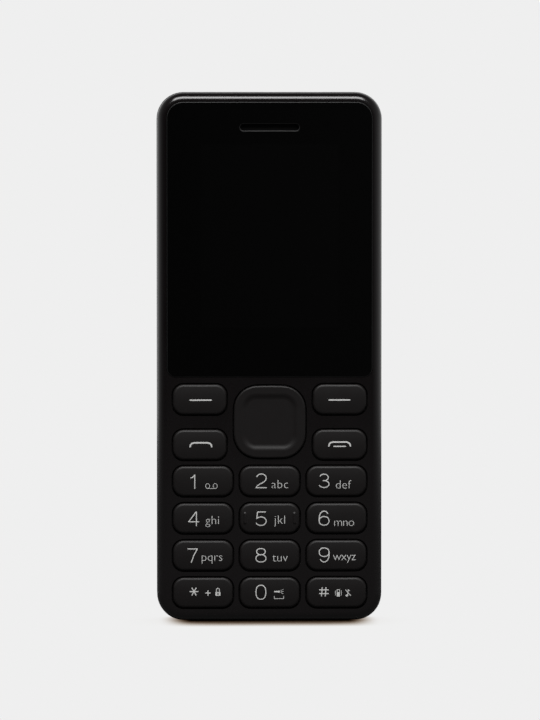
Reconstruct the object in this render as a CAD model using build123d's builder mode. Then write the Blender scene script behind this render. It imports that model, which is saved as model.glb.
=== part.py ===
from build123d import *
import os

# A slim feature phone with a number keypad. It stands upright on its bottom edge, its face towards
# -Y and its top towards +Z, with the origin under the middle of its box. Lengths are millimetres.
# A depth is counted from the face plane of the front housing, positive into the phone.

os.makedirs("parts", exist_ok=True)

# Outer form
phone_width = 50.2
phone_height = 118.0
corner_radius = 6.0
rim_radius = 2.0
back_edge_radius = 4.0
cover_step = 0.1
seam_gap = 0.15

# Walls and clearances
front_wall = 2.0
plate_thick = 1.2
cover_wall = 1.2
cover_gap = 0.15
chassis_wall = 0.9
chassis_back_wall = 1.2
board_gap = 0.15
board_sink = 0.2
fit_gap = 0.1
cut_overrun = 1.0

# Display window with its tape and the ledge that carries it
window_margin = 2.2
window_thick = 0.9
window_proud = 0.1
window_gap = 0.1
window_chamfer_wide = 0.12
window_chamfer_deep = 0.06
window_top_radius = 3.6
window_bottom_radius = 2.0
tape_thick = 0.1
tape_width = 1.6
ledge_thick = 0.6
ledge_width = 3.0

# Earpiece behind its slot in the window
slot_length = 13.2
slot_height = 1.55
slot_drop = 7.8
mesh_lap = 0.5
sound_hole_inset = 0.3
earpiece_length = 12.0
earpiece_height = 7.0
earpiece_rise = 1.8
earpiece_radius = 1.0

# Display module
lcd_side_margin = 6.25
lcd_top_gap = 0.7
lcd_bottom_margin = 3.4
lcd_thick = 2.1
lcd_slack = 0.1
lcd_frame_wall = 0.6
lcd_frame_lip = 1.6
lcd_lip_thick = 0.15
lcd_radius = 0.6
lcd_panel_gap = 0.05
lcd_rib_length = 8.0
lcd_rib_thick = 1.0
lcd_rib_reach = 12.5
flex_width = 16.0
flex_length = 3.6
flex_thick = 0.15

# Keypad, built up from the bottom edge of the phone
keypad_side = 3.52
column_gap = 1.48
keypad_bottom = 3.031
key_height = 6.8
row_gap = 1.51
key_radius = 2.4
block_gap = 1.74
soft_key_gap = 1.6
call_key_rise = 1.33
nav_width = 16.0
nav_height = 16.2
nav_radius = 5.2
nav_bulge = 0.35
nav_gap_above = 1.9
nav_gap_beside = 1.58

# Caps, how they stand out and how they are kept in
key_proud = 0.5
nav_proud = 0.6
key_gap = 0.3
key_lip = 0.3
key_play = 0.05
key_flange = 0.4
key_travel = 0.35
key_edge = 0.65
crown_across = 110.0
crown_along = 24.0
ridge_length = 2.9
ridge_width = 1.05
ridge_rise = 0.2
ridge_sink = 0.07
ridge_lean = 57.0
ridge_inset = 1.2

# Navigation key with its dished middle, the pad it rocks on and the actuator in the centre
nav_edge = 0.4
nav_play = 0.5
nav_flange = 0.35
dish_width = 12.2
dish_height = 12.3
dish_radius = 3.1
dish_depth = 0.32
dish_slope = 0.9
dish_blend = 1.5
rock_gap = 0.06
pad_thick = 0.3
pad_width = 3.0
actuator_radius = 1.2
actuator_reach = 5.2
actuator_length = 0.25
plunger_length = 0.45

# Keypad mat, domes, film and keypad lamps
mat_slack = 0.1
mat_thick = 0.4
mat_edge = 0.7
mat_radius = 2.4
nub_radius = 1.0
nub_gap = 0.05
nav_clearance = 0.3
dome_radius = 2.0
dome_height = 0.4
film_thick = 0.1
film_edge = 1.2
film_hole_gap = 0.1
lamp_length = 1.6
lamp_width = 0.8
lamp_height = 0.5

# Main board and the parts on its back
board_thick = 0.8
can_height = 1.3
can_radius = 0.6
can_spacing = 1.5
can_width = 14.0
can_length = 10.0
sim_width = 15.6
sim_length = 18.0
sim_spacing = 0.8
sim_rise = 6.0
sim_metal = 0.25
sim_slot = 0.85
card_width = 12.4
card_length = 14.0
card_slot = 0.8
holder_gap = 0.25

# Battery and its bay
battery_width = 34.0
battery_length = 53.0
battery_thick = 4.7
battery_edge = 0.8
battery_bottom = 16.0
battery_gap = 0.3
battery_sunk = 0.3
bay_floor = 0.6
bay_wall = 1.0
bay_radius = 1.0
contact_count = 3
contact_pitch = 2.4
contact_width = 0.9
contact_height = 2.2
contact_gap = 0.05
connector_width = 9.0
connector_depth = 4.0
pad_sink = 0.2
pad_overhang = 0.3

# Screws and their bosses
screw_radius = 0.7
screw_play = 0.02
screw_hole = 0.9
screw_head_radius = 1.25
screw_head = 0.8
cross_length = 1.5
cross_width = 0.35
cross_depth = 0.4
screw_bite = 1.5
driver_hole = 1.6
boss_radius = 1.3
column_radius = 2.2
head_seat = 2.4
screw_top_drop = 6.0
screw_corner_inset = 4.9
screw_side_inset = 4.15

# Sockets and torch in the top edge
usb_width = 7.5
usb_height = 2.6
usb_length = 5.2
usb_shell = 0.3
usb_radius = 0.6
usb_tongue_thick = 0.6
usb_tongue_gap = 0.5
usb_relief = 1.1
jack_width = 6.2
jack_height = 5.2
jack_length = 14.0
jack_bore = 1.78
jack_bore_length = 12.5
jack_relief = 1.2
torch_radius = 1.5
torch_length = 4.0
torch_rim = 0.3
torch_rim_length = 0.6
torch_lens_radius = 2.0
torch_lens_length = 2.4
torch_gap = 0.3
torch_relief = 0.4
edge_parts_sink = 0.15

# Loudspeaker, camera, vibration motor, microphone and aerial
speaker_width = 15.0
speaker_length = 11.0
speaker_thick = 3.4
speaker_radius = 2.0
speaker_gap = 0.35
speaker_drop = 16.0
speaker_mesh_thick = 0.2
grille_rows = 3
grille_columns = 4
grille_length = 2.2
grille_height = 0.9
grille_pitch_across = 3.0
grille_pitch_up = 1.9
camera_size = 6.4
camera_base = 2.6
camera_barrel_radius = 2.6
camera_eye_radius = 1.1
camera_eye_depth = 0.6
camera_drop = 17.6
camera_window_radius = 3.5
camera_window_thick = 0.8
camera_view_radius = 2.9
camera_relief = 0.7
motor_radius = 2.0
motor_length = 8.0
motor_left = 10.0
motor_drop = 23.0
motor_lift = 0.25
motor_bore = 0.42
shaft_radius = 0.35
shaft_seat = 2.0
weight_radius = 1.9
weight_length = 3.8
weight_gap = 0.5
boot_wall = 0.5
boot_length = 6.0
microphone_place = -15.5
microphone_radius = 2.0
microphone_height = 1.5
microphone_rise = 7.0
microphone_boot_wall = 0.6
microphone_hole = 0.6
aerial_width = 36.0
aerial_height = 8.0
aerial_thick = 0.2
aerial_leg_width = 1.2
aerial_leg_pitch = 5.0
aerial_clearance = 0.4
nail_notch_width = 9.0
nail_notch_depth = 0.7
nail_notch_height = 1.2

# Depths of the layers, from the face inwards
window_back = window_thick - window_proud
ledge_front = window_back + tape_thick
ledge_back = ledge_front + ledge_thick
lcd_back = ledge_back + lcd_thick
board_front = lcd_back + lcd_slack
board_back = board_front + board_thick
seam_depth = board_front - board_sink
floor_front = board_back + can_height + fit_gap
floor_back = floor_front + bay_floor
battery_front = floor_back + fit_gap
battery_back = battery_front + battery_thick
chassis_back = battery_back + battery_sunk
pocket_back = chassis_back - chassis_back_wall
cover_inside = chassis_back + fit_gap
body_depth = cover_inside + cover_wall
flange_front = plate_thick + key_play
mat_front = flange_front + key_flange + key_travel + mat_slack
mat_back = mat_front + mat_thick
dome_top = board_front - dome_height
nav_flange_front = plate_thick + nav_play
nav_flange_back = nav_flange_front + nav_flange
phone_depth = nav_proud + body_depth
face_y = nav_proud - phone_depth / 2

# Outlines of the shells
middle_z = phone_height / 2
front_width = phone_width - 2 * cover_step
front_height = phone_height - 2 * cover_step
front_radius = corner_radius - cover_step
chassis_inset = cover_wall + cover_gap
board_inset = chassis_inset + chassis_wall + board_gap
chassis_top = phone_height - chassis_inset
edge_parts_top = chassis_top - edge_parts_sink

# Places of the keys
number_width = (phone_width - 2 * keypad_side - 2 * column_gap) / 3
column_pitch = number_width + column_gap
row_pitch = key_height + row_gap
bottom_row_z = keypad_bottom + key_height / 2
number_rows = [bottom_row_z + row * row_pitch for row in range(4)]
number_top = number_rows[-1] + key_height / 2
nav_z = number_top + block_gap + nav_height / 2
nav_top = nav_z + nav_height / 2
window_bottom = nav_top + nav_gap_above
side_key_width = phone_width / 2 - keypad_side - nav_width / 2 - nav_gap_beside
side_key_x = phone_width / 2 - keypad_side - side_key_width / 2
soft_key_z = window_bottom - soft_key_gap - key_height / 2
call_key_z = number_top + call_key_rise + key_height / 2

# Window and display places
window_width = phone_width - 2 * window_margin
window_top = phone_height - window_margin
window_height = window_top - window_bottom
window_z = (window_top + window_bottom) / 2
slot_z = phone_height - slot_drop
earpiece_z = slot_z + earpiece_rise
lcd_top = earpiece_z - earpiece_height / 2 - lcd_top_gap
lcd_bottom = window_bottom + lcd_bottom_margin
lcd_height = lcd_top - lcd_bottom
lcd_z = (lcd_top + lcd_bottom) / 2
lcd_width = phone_width - 2 * lcd_side_margin

# Battery bay and what stands round it
battery_top = battery_bottom + battery_length
battery_z = (battery_top + battery_bottom) / 2
bay_width = battery_width + 2 * battery_gap
bay_length = battery_length + 2 * battery_gap
bay_top = battery_z + bay_length / 2
bay_bottom = battery_z - bay_length / 2
connector_bottom = bay_top + bay_wall + fit_gap
socket_depth = board_back + jack_height / 2
pocket_inset = chassis_inset + chassis_wall
pocket_half = phone_width / 2 - pocket_inset
pocket_radius = corner_radius - pocket_inset
top_screw_x = phone_width / 2 - screw_corner_inset
jack_place = (top_screw_x - column_radius + torch_lens_radius) / 2
usb_place = -jack_place
speaker_place = speaker_gap + speaker_width / 2 - pocket_half
motor_z = phone_height - motor_drop
motor_depth = board_back + motor_lift + motor_radius
speaker_z = phone_height - speaker_drop
camera_z = phone_height - camera_drop
microphone_z = microphone_rise

# The keys: name, centre and width
numbers = [
    ["key_star", "key_0", "key_hash"],
    ["key_7", "key_8", "key_9"],
    ["key_4", "key_5", "key_6"],
    ["key_1", "key_2", "key_3"],
]
keys = []
for row, names in enumerate(numbers):
    for column, name in enumerate(names):
        keys.append((name, (column - 1) * column_pitch, number_rows[row], number_width))
keys.append(("soft_key_left", -side_key_x, soft_key_z, side_key_width))
keys.append(("soft_key_right", side_key_x, soft_key_z, side_key_width))
keys.append(("call_key", -side_key_x, call_key_z, side_key_width))
keys.append(("end_key", side_key_x, call_key_z, side_key_width))

# Screws: two in the gaps of the bottom rows, two beside the display and two in the top corners
side_screw_z = bay_top + bay_wall + column_radius + battery_gap
bottom_screw_z = (number_rows[0] + number_rows[1]) / 2
bottom_screws = [(side * column_pitch / 2, bottom_screw_z) for side in (-1, 1)]
side_screw_x = phone_width / 2 - screw_side_inset
side_screws = [(side * side_screw_x, side_screw_z) for side in (-1, 1)]
top_screws = [(side * top_screw_x, phone_height - screw_top_drop) for side in (-1, 1)]
screws = bottom_screws + side_screws + top_screws

# Domes: one under each key and five under the navigation key
nav_domes = [
    (0, nav_z),
    (-actuator_reach, nav_z),
    (actuator_reach, nav_z),
    (0, nav_z - actuator_reach),
    (0, nav_z + actuator_reach),
]
key_domes = [(x, z) for name, x, z, width in keys]
domes = key_domes + nav_domes

# Keypad lamps in the gaps between the number keys
lamp_rows = [(number_rows[row] + number_rows[row + 1]) / 2 for row in (1, 2)]
lamps = [(side * column_pitch / 2, z) for side in (-1, 1) for z in lamp_rows]


def facing(depth):
    """The plane at a depth below the face, looking out of it, with x to the right and z up."""
    return Plane.XZ.offset(-(face_y + depth))


def slab(inset, front, back, edge):
    """A block of the phone's rounded outline, drawn in by inset, with its rear edge rounded."""
    with BuildPart() as block:
        with BuildSketch(facing(front)):
            with Locations((0, middle_z)):
                RectangleRounded(
                    phone_width - 2 * inset, phone_height - 2 * inset, corner_radius - inset
                )
        extrude(amount=front - back)
        if edge > 0:
            fillet(block.faces().sort_by(Axis.Y)[-1].edges(), edge)
    return block.part


def plate(depth, x, z, width, height, radius, thick):
    """A rounded plate that starts at a depth and runs inwards."""
    with BuildPart() as block:
        with BuildSketch(facing(depth)):
            with Locations((x, z)):
                RectangleRounded(width, height, radius)
        extrude(amount=-thick)
    return block.part


def window_outline(depth, inset):
    """The window's outline at a depth, drawn in by inset: rounder at the top than at the bottom."""
    with BuildSketch(facing(depth)) as outline:
        with Locations((0, window_z)):
            Rectangle(window_width - 2 * inset, window_height - 2 * inset)
        fillet(outline.vertices().group_by(Axis.Y)[-1], window_top_radius - inset)
        fillet(outline.vertices().group_by(Axis.Y)[0], window_bottom_radius - inset)
    return outline.sketch


def window_slab(front, thick, inset):
    """A plate of the window's outline."""
    with BuildPart() as block:
        extrude(window_outline(front, inset), amount=-thick)
    return block.part


def nav_slab(front, back, grow):
    """A block of the navigation key's outline, whose four sides bow outwards, grown all round."""
    half_width = nav_width / 2 - nav_bulge + grow
    half_height = nav_height / 2 - nav_bulge + grow
    corners = [
        (-half_width, nav_z - half_height),
        (half_width, nav_z - half_height),
        (half_width, nav_z + half_height),
        (-half_width, nav_z + half_height),
    ]
    with BuildPart() as block:
        with BuildSketch(facing(front)) as outline:
            with BuildLine():
                for start, end in zip(corners, corners[1:] + corners[:1]):
                    SagittaArc(start, end, -nav_bulge)
            make_face()
            fillet(outline.vertices(), nav_radius + grow)
        extrude(amount=front - back)
    return block.part


def posts(places, front, back, radius):
    """Round posts or holes at a list of places, from one depth to another."""
    with BuildPart() as block:
        with BuildSketch(facing(front)):
            with Locations(*places):
                Circle(radius)
        extrude(amount=front - back)
    return block.part


# Front housing: a moulded tray with a rounded rim, holes for the keys and a seat for the window
with BuildPart() as front_housing:
    with BuildSketch(facing(0)):
        with Locations((0, middle_z)):
            RectangleRounded(front_width, front_height, front_radius)
    extrude(amount=-seam_depth)
    fillet(front_housing.faces().sort_by(Axis.Y)[0].edges(), rim_radius)
    add(slab(front_wall + cover_step, ledge_back, seam_depth, 0), mode=Mode.SUBTRACT)
    keypad_room_top = window_bottom - window_gap
    keypad_room_bottom = front_wall + cover_step
    with BuildSketch(facing(plate_thick)):
        with Locations((0, keypad_room_bottom)):
            RectangleRounded(
                phone_width - 2 * (front_wall + cover_step),
                2 * (keypad_room_top - keypad_room_bottom),
                corner_radius - front_wall - cover_step,
            )
        with Locations((0, middle_z)):
            RectangleRounded(
                phone_width - 2 * (front_wall + cover_step),
                phone_height - 2 * (front_wall + cover_step),
                corner_radius - front_wall - cover_step,
                mode=Mode.INTERSECT,
            )
    extrude(amount=plate_thick - ledge_back, mode=Mode.SUBTRACT)
    add(window_slab(-cut_overrun, cut_overrun + ledge_front, -window_gap), mode=Mode.SUBTRACT)
    for name, x, z, width in keys:
        with BuildSketch(facing(0)):
            with Locations((x, z)):
                RectangleRounded(
                    width + 2 * key_gap, key_height + 2 * key_gap, key_radius + key_gap
                )
        extrude(amount=-plate_thick, mode=Mode.SUBTRACT)
    add(nav_slab(-cut_overrun, plate_thick, key_gap), mode=Mode.SUBTRACT)
    with BuildSketch(facing(ledge_front)):
        with Locations((0, lcd_z)):
            Rectangle(lcd_width - 2 * ledge_width, lcd_height - 2 * ledge_width)
        with Locations((0, slot_z)):
            SlotOverall(slot_length - 2 * sound_hole_inset, slot_height - 2 * sound_hole_inset)
    extrude(amount=-ledge_thick, mode=Mode.SUBTRACT)
    add(posts(bottom_screws, plate_thick, board_front, boss_radius))
    add(posts(side_screws + top_screws, ledge_back, board_front, boss_radius))
    rib_x = lcd_width / 2 + fit_gap + lcd_rib_thick / 2
    with BuildSketch(facing(ledge_back)):
        with Locations((0, lcd_z)):
            with GridLocations(2 * rib_x, 2 * lcd_rib_reach, 2, 2):
                Rectangle(lcd_rib_thick, lcd_rib_length)
    extrude(amount=ledge_back - seam_depth)
    add(
        posts(screws, board_front - screw_bite, board_front + cut_overrun, screw_radius + screw_play),
        mode=Mode.SUBTRACT,
    )
front_housing.part.label = "front_housing"

# Window: one clear plate, black behind its border, with the slot for the earpiece
with BuildPart() as display_window:
    add(window_slab(-window_proud, window_thick, 0))
    with BuildSketch(facing(-window_proud)):
        with Locations((0, slot_z)):
            SlotOverall(slot_length, slot_height)
    extrude(amount=-window_thick, mode=Mode.SUBTRACT)
    window_face = display_window.faces().sort_by(Axis.Y)[0]
    chamfer(
        window_face.edges(), window_chamfer_wide, window_chamfer_deep, reference=window_face
    )
display_window.part.label = "display_window"

# Tape: a thin frame that holds the window, cut out round the earpiece mesh
with BuildPart() as window_tape:
    add(window_slab(window_back, tape_thick, 0))
    tape_open_top = slot_z - slot_height / 2 - mesh_lap - tape_width
    tape_open_bottom = window_bottom + tape_width
    with BuildSketch(facing(window_back)):
        with Locations((0, (tape_open_top + tape_open_bottom) / 2)):
            Rectangle(window_width - 2 * tape_width, tape_open_top - tape_open_bottom)
        with Locations((0, slot_z)):
            SlotOverall(
                slot_length + 2 * mesh_lap + 2 * fit_gap, slot_height + 2 * mesh_lap + 2 * fit_gap
            )
    extrude(amount=-tape_thick, mode=Mode.SUBTRACT)
window_tape.part.label = "window_tape"

# Earpiece mesh: the dust cloth behind the slot
with BuildPart() as earpiece_mesh:
    with BuildSketch(facing(window_back)):
        with Locations((0, slot_z)):
            SlotOverall(slot_length + 2 * mesh_lap, slot_height + 2 * mesh_lap)
    extrude(amount=-tape_thick)
earpiece_mesh.part.label = "earpiece_mesh"

# Earpiece: a flat receiver between the ledge and the board
with BuildPart() as earpiece:
    add(
        plate(
            ledge_back,
            0,
            earpiece_z,
            earpiece_length,
            earpiece_height,
            earpiece_radius,
            board_front - ledge_back,
        )
    )
earpiece.part.label = "earpiece"

# Display: a glass stack in a thin frame, with its tail soldered to the board below it
with BuildPart() as lcd_frame:
    add(plate(ledge_back, 0, lcd_z, lcd_width, lcd_height, lcd_radius, lcd_thick))
    with BuildSketch(facing(ledge_back)):
        with Locations((0, lcd_z)):
            Rectangle(lcd_width - 2 * lcd_frame_lip, lcd_height - 2 * lcd_frame_lip)
    extrude(amount=-lcd_lip_thick, mode=Mode.SUBTRACT)
    with BuildSketch(facing(ledge_back + lcd_lip_thick)):
        with Locations((0, lcd_z)):
            Rectangle(lcd_width - 2 * lcd_frame_wall, lcd_height - 2 * lcd_frame_wall)
    extrude(amount=-lcd_thick, mode=Mode.SUBTRACT)
lcd_frame.part.label = "lcd_frame"

lcd_panel_inset = lcd_frame_wall + lcd_panel_gap
with BuildPart() as lcd_panel:
    with BuildSketch(facing(ledge_back + lcd_lip_thick)):
        with Locations((0, lcd_z)):
            Rectangle(lcd_width - 2 * lcd_panel_inset, lcd_height - 2 * lcd_panel_inset)
    extrude(amount=lcd_lip_thick - lcd_thick)
lcd_panel.part.label = "lcd_panel"

with BuildPart() as lcd_flex:
    with BuildSketch(facing(board_front - flex_thick)):
        with Locations((0, lcd_bottom - flex_length / 2)):
            Rectangle(flex_width, flex_length)
    extrude(amount=-flex_thick)
lcd_flex.part.label = "lcd_flex"


def key_cap(x, z, width):
    """A crowned key cap with a rounded edge and the flange that keeps it behind the plate."""
    with BuildPart() as cap:
        with BuildSketch(facing(-key_proud)):
            with Locations((x, z)):
                RectangleRounded(width, key_height, key_radius)
        extrude(amount=-(key_proud + flange_front))
        crown_centre = face_y - key_proud + crown_across
        with Locations((x, crown_centre, z)):
            Torus(crown_across - crown_along, crown_along, mode=Mode.INTERSECT)
        fillet(cap.faces().filter_by(GeomType.TORUS).edges(), key_edge)
        add(
            plate(
                flange_front,
                x,
                z,
                width + 2 * (key_gap + key_lip),
                key_height + 2 * (key_gap + key_lip),
                key_radius + key_gap + key_lip,
                key_flange,
            )
        )
    return cap.part


# Keys: sixteen caps, the middle one with two ridges that the thumb finds
for name, x, z, width in keys:
    cap_part = key_cap(x, z, width)
    if name == "key_5":
        with BuildPart() as ridged:
            add(cap_part)
            ridge_x = width / 2 - ridge_inset
            ridge_foot = key_proud - ridge_x**2 / (2 * crown_across) - ridge_sink
            with BuildSketch(facing(-ridge_foot)):
                with Locations((x, z)):
                    with GridLocations(2 * ridge_x, 0, 2, 1):
                        SlotOverall(ridge_length, ridge_width, rotation=90)
            extrude(amount=ridge_sink + ridge_rise, taper=ridge_lean)
        cap_part = ridged.part
    cap_part.label = name
    export_step(cap_part, f"parts/{name}.step")

# Navigation key: one cap with bowed sides and a dish, and two actuators on its back
with BuildPart() as nav_key:
    add(nav_slab(-nav_proud, nav_flange_front, 0))
    fillet(nav_key.faces().sort_by(Axis.Y)[0].edges(), nav_edge)
    with BuildSketch(facing(-nav_proud)):
        with Locations((0, nav_z)):
            RectangleRounded(dish_width, dish_height, dish_radius)
    with BuildSketch(facing(-nav_proud + dish_depth)):
        with Locations((0, nav_z)):
            RectangleRounded(
                dish_width - 2 * dish_slope, dish_height - 2 * dish_slope, dish_radius - dish_slope
            )
    loft(mode=Mode.SUBTRACT)
    dish_floor = nav_key.faces().filter_by(Axis.Y).sort_by(Axis.Y)[1]
    fillet(dish_floor.edges(), dish_blend)
    rim_face = nav_key.faces().filter_by(Axis.Y).sort_by(Axis.Y)[0]
    fillet(rim_face.inner_wires()[0].edges(), dish_blend)
    add(nav_slab(nav_flange_front, nav_flange_back, key_gap + key_lip))
    add(
        posts(
            [(-actuator_reach, nav_z), (actuator_reach, nav_z)],
            nav_flange_back,
            nav_flange_back + rock_gap + pad_thick + actuator_length,
            actuator_radius,
        )
    )
nav_key.part.label = "nav_key"

# Pad: a rubber bar behind the cap, with the upper and lower actuators
pad_front = nav_flange_back + rock_gap
pad_back = pad_front + pad_thick
with BuildPart() as nav_pad:
    with BuildSketch(facing(pad_front)):
        with Locations((0, nav_z)):
            SlotOverall(2 * actuator_reach + pad_width, pad_width, rotation=90)
    extrude(amount=-pad_thick)
    add(
        posts(
            [(0, nav_z - actuator_reach), (0, nav_z + actuator_reach)],
            pad_back,
            pad_back + actuator_length,
            actuator_radius,
        )
    )
nav_pad.part.label = "nav_pad"

with BuildPart() as nav_plunger:
    add(posts([(0, nav_z)], pad_back + rock_gap, pad_back + rock_gap + plunger_length, actuator_radius))
nav_plunger.part.label = "nav_plunger"

# Keypad mat: silicone sheet with a nub over each dome, open under the navigation key
mat_bottom = front_wall + cover_step + mat_edge
mat_top = window_bottom - mat_edge
with BuildPart() as keypad_mat:
    add(
        plate(
            mat_front,
            0,
            (mat_top + mat_bottom) / 2,
            phone_width - 2 * mat_bottom,
            mat_top - mat_bottom,
            mat_radius,
            mat_thick,
        )
    )
    add(posts(key_domes, mat_back, dome_top - nub_gap, nub_radius))
    add(
        nav_slab(mat_front, mat_back, key_gap + key_lip + nav_clearance),
        mode=Mode.SUBTRACT,
    )
    add(posts(bottom_screws, mat_front, mat_back, boss_radius + holder_gap), mode=Mode.SUBTRACT)
keypad_mat.part.label = "keypad_mat"

# Domes: snap discs on the board, held by a film with a hole round each
with BuildPart() as snap_dome:
    with BuildSketch(Plane.XY):
        with BuildLine():
            Line((0, 0), (0, -dome_height))
            TangentArc((0, -dome_height), (dome_radius, 0), tangent=(1, 0))
            Line((dome_radius, 0), (0, 0))
        make_face()
    revolve(axis=Axis.Y)

with BuildPart() as metal_domes:
    with Locations(*[(x, face_y + board_front, z) for x, z in domes]):
        add(snap_dome.part)
metal_domes.part.label = "metal_domes"

with BuildPart() as dome_sheet:
    film_bottom = mat_bottom + film_edge - mat_edge
    film_top = lcd_bottom - flex_length - film_edge
    add(
        plate(
            board_front - film_thick,
            0,
            (film_top + film_bottom) / 2,
            phone_width - 2 * (front_wall + cover_step + film_edge),
            film_top - film_bottom,
            mat_radius,
            film_thick,
        )
    )
    add(
        posts(domes, board_front - film_thick, board_front, dome_radius + film_hole_gap),
        mode=Mode.SUBTRACT,
    )
    add(
        posts(bottom_screws, board_front - film_thick, board_front, boss_radius + holder_gap),
        mode=Mode.SUBTRACT,
    )
    with BuildSketch(facing(board_front - film_thick)):
        with Locations(*lamps):
            Rectangle(lamp_width + 2 * film_hole_gap, lamp_length + 2 * film_hole_gap)
    extrude(amount=-film_thick, mode=Mode.SUBTRACT)
dome_sheet.part.label = "dome_sheet"

with BuildPart() as key_leds:
    with BuildSketch(facing(board_front - lamp_height)):
        with Locations(*lamps):
            Rectangle(lamp_width, lamp_length)
    extrude(amount=-lamp_height)
key_leds.part.label = "key_leds"

# Main board: one sheet that fills the phone, drilled for the screws
with BuildPart() as main_board:
    add(slab(board_inset, board_front, board_back, 0))
    add(posts(screws, board_front, board_back, screw_hole), mode=Mode.SUBTRACT)
main_board.part.label = "main_board"

# Holders in the bay floor: two for SIM cards and one for a memory card, each a bent metal tunnel
sim_z = bay_bottom + sim_rise + sim_length / 2
sim_x = (sim_width + sim_spacing) / 2
card_z = sim_z + sim_length / 2 + can_spacing + card_length / 2
card_x = sim_x


def tunnel(places, width, length, slot):
    """Card tunnels on the back of the board, open at the bottom, from sheet metal."""
    with BuildPart() as block:
        with BuildSketch(facing(board_back)):
            with Locations(*places):
                Rectangle(width, length)
        extrude(amount=-can_height)
        with BuildSketch(facing(board_back + can_height - sim_metal - slot)):
            with Locations(*[(x, z - sim_metal) for x, z in places]):
                Rectangle(width - 2 * sim_metal, length)
        extrude(amount=-slot, mode=Mode.SUBTRACT)
    return block.part


with BuildPart() as sim_holders:
    add(tunnel([(-sim_x, sim_z), (sim_x, sim_z)], sim_width, sim_length, sim_slot))
sim_holders.part.label = "sim_holders"

with BuildPart() as card_holder:
    add(tunnel([(-card_x, card_z)], card_width, card_length, card_slot))
card_holder.part.label = "card_holder"

# Shield cans: one under the battery beside the memory card, one under the loudspeaker
with BuildPart() as shield_cans:
    add(plate(board_back, card_x, card_z, can_width, card_length, can_radius, can_height))
    add(
        plate(board_back, speaker_place, speaker_z, can_width, can_length, can_radius, can_height)
    )
shield_cans.part.label = "shield_cans"

# Battery connector above the bay, with three spring contacts that reach through the bay's wall
with BuildPart() as battery_connector:
    with BuildSketch(facing(board_back)):
        with Locations((0, connector_bottom + connector_depth / 2)):
            Rectangle(connector_width, connector_depth)
    extrude(amount=board_back - pocket_back + fit_gap)
battery_connector.part.label = "battery_connector"

contact_bottom = battery_top + contact_gap
contact_depth = (battery_front + battery_back - contact_height) / 2
with BuildPart() as battery_contacts:
    with BuildSketch(facing(contact_depth)):
        with Locations((0, (contact_bottom + connector_bottom) / 2)):
            with GridLocations(contact_pitch, 0, contact_count, 1):
                Rectangle(contact_width, connector_bottom - contact_bottom)
    extrude(amount=-contact_height)
battery_contacts.part.label = "battery_contacts"

# Battery: a flat pack with rounded long edges and three plated pads in its top edge
pad_wide = contact_width + 2 * pad_overhang
pad_tall = contact_height + 2 * pad_overhang
pad_depth = (battery_front + battery_back) / 2


def battery_pad_block():
    """The three contact pads, flush with the battery's top edge."""
    with BuildPart() as block:
        with BuildSketch(Plane.XY.offset(battery_top)):
            with Locations((0, face_y + pad_depth)):
                with GridLocations(contact_pitch, 0, contact_count, 1):
                    Rectangle(pad_wide, pad_tall)
        extrude(amount=-pad_sink)
    return block.part


with BuildPart() as battery:
    with BuildSketch(facing(battery_front)):
        with Locations((0, battery_z)):
            Rectangle(battery_width, battery_length)
    extrude(amount=-battery_thick)
    fillet(battery.edges().filter_by(Axis.Z), battery_edge)
    add(battery_pad_block(), mode=Mode.SUBTRACT)
battery.part.label = "battery"

with BuildPart() as battery_pads:
    add(battery_pad_block())
battery_pads.part.label = "battery_pads"

# Charging socket: a flat metal shell with a tongue, open at the top edge of the phone
usb_depth = board_back + usb_height / 2
with BuildPart() as usb_socket:
    with BuildSketch(Plane.XY.offset(edge_parts_top)):
        with Locations((usb_place, face_y + usb_depth)):
            RectangleRounded(usb_width, usb_height, usb_radius)
    extrude(amount=-usb_length)
    with BuildSketch(Plane.XY.offset(edge_parts_top)):
        with Locations((usb_place, face_y + usb_depth)):
            RectangleRounded(
                usb_width - 2 * usb_shell, usb_height - 2 * usb_shell, usb_radius - usb_shell
            )
    extrude(amount=usb_shell - usb_length, mode=Mode.SUBTRACT)
usb_socket.part.label = "usb_socket"

with BuildPart() as usb_tongue:
    with BuildSketch(Plane.XY.offset(edge_parts_top - usb_length + usb_shell)):
        with Locations((usb_place, face_y + usb_depth)):
            Rectangle(usb_width - 2 * (usb_shell + usb_tongue_gap), usb_tongue_thick)
    extrude(amount=usb_length - usb_shell - usb_tongue_gap)
usb_tongue.part.label = "usb_tongue"

# Headset socket: a moulded block with a round bore
with BuildPart() as headset_jack:
    with BuildSketch(Plane.XY.offset(edge_parts_top)):
        with Locations((jack_place, face_y + socket_depth)):
            Rectangle(jack_width, jack_height)
    extrude(amount=-jack_length)
    with BuildSketch(Plane.XY.offset(edge_parts_top)):
        with Locations((jack_place, face_y + socket_depth)):
            Circle(jack_bore)
    extrude(amount=-jack_bore_length, mode=Mode.SUBTRACT)
headset_jack.part.label = "headset_jack"

# Torch: a round lamp that shines through a clear lens in the top edge
torch_top = edge_parts_top - torch_lens_length - torch_gap
with BuildPart() as torch_led:
    with BuildSketch(Plane.XY.offset(torch_top)):
        with Locations((0, face_y + socket_depth)):
            Circle(torch_radius)
    extrude(amount=-torch_length)
    fillet(torch_led.faces().sort_by(Axis.Z)[-1].edges(), torch_radius - fit_gap)
    with BuildSketch(Plane.XY.offset(torch_top - torch_length)):
        with Locations((0, face_y + socket_depth)):
            Circle(torch_radius + torch_rim)
    extrude(amount=torch_rim_length)
torch_led.part.label = "torch_led"

with BuildPart() as torch_lens:
    with BuildSketch(Plane.XY.offset(edge_parts_top)):
        with Locations((0, face_y + socket_depth)):
            Circle(torch_lens_radius)
    extrude(amount=-torch_lens_length)
torch_lens.part.label = "torch_lens"

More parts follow.
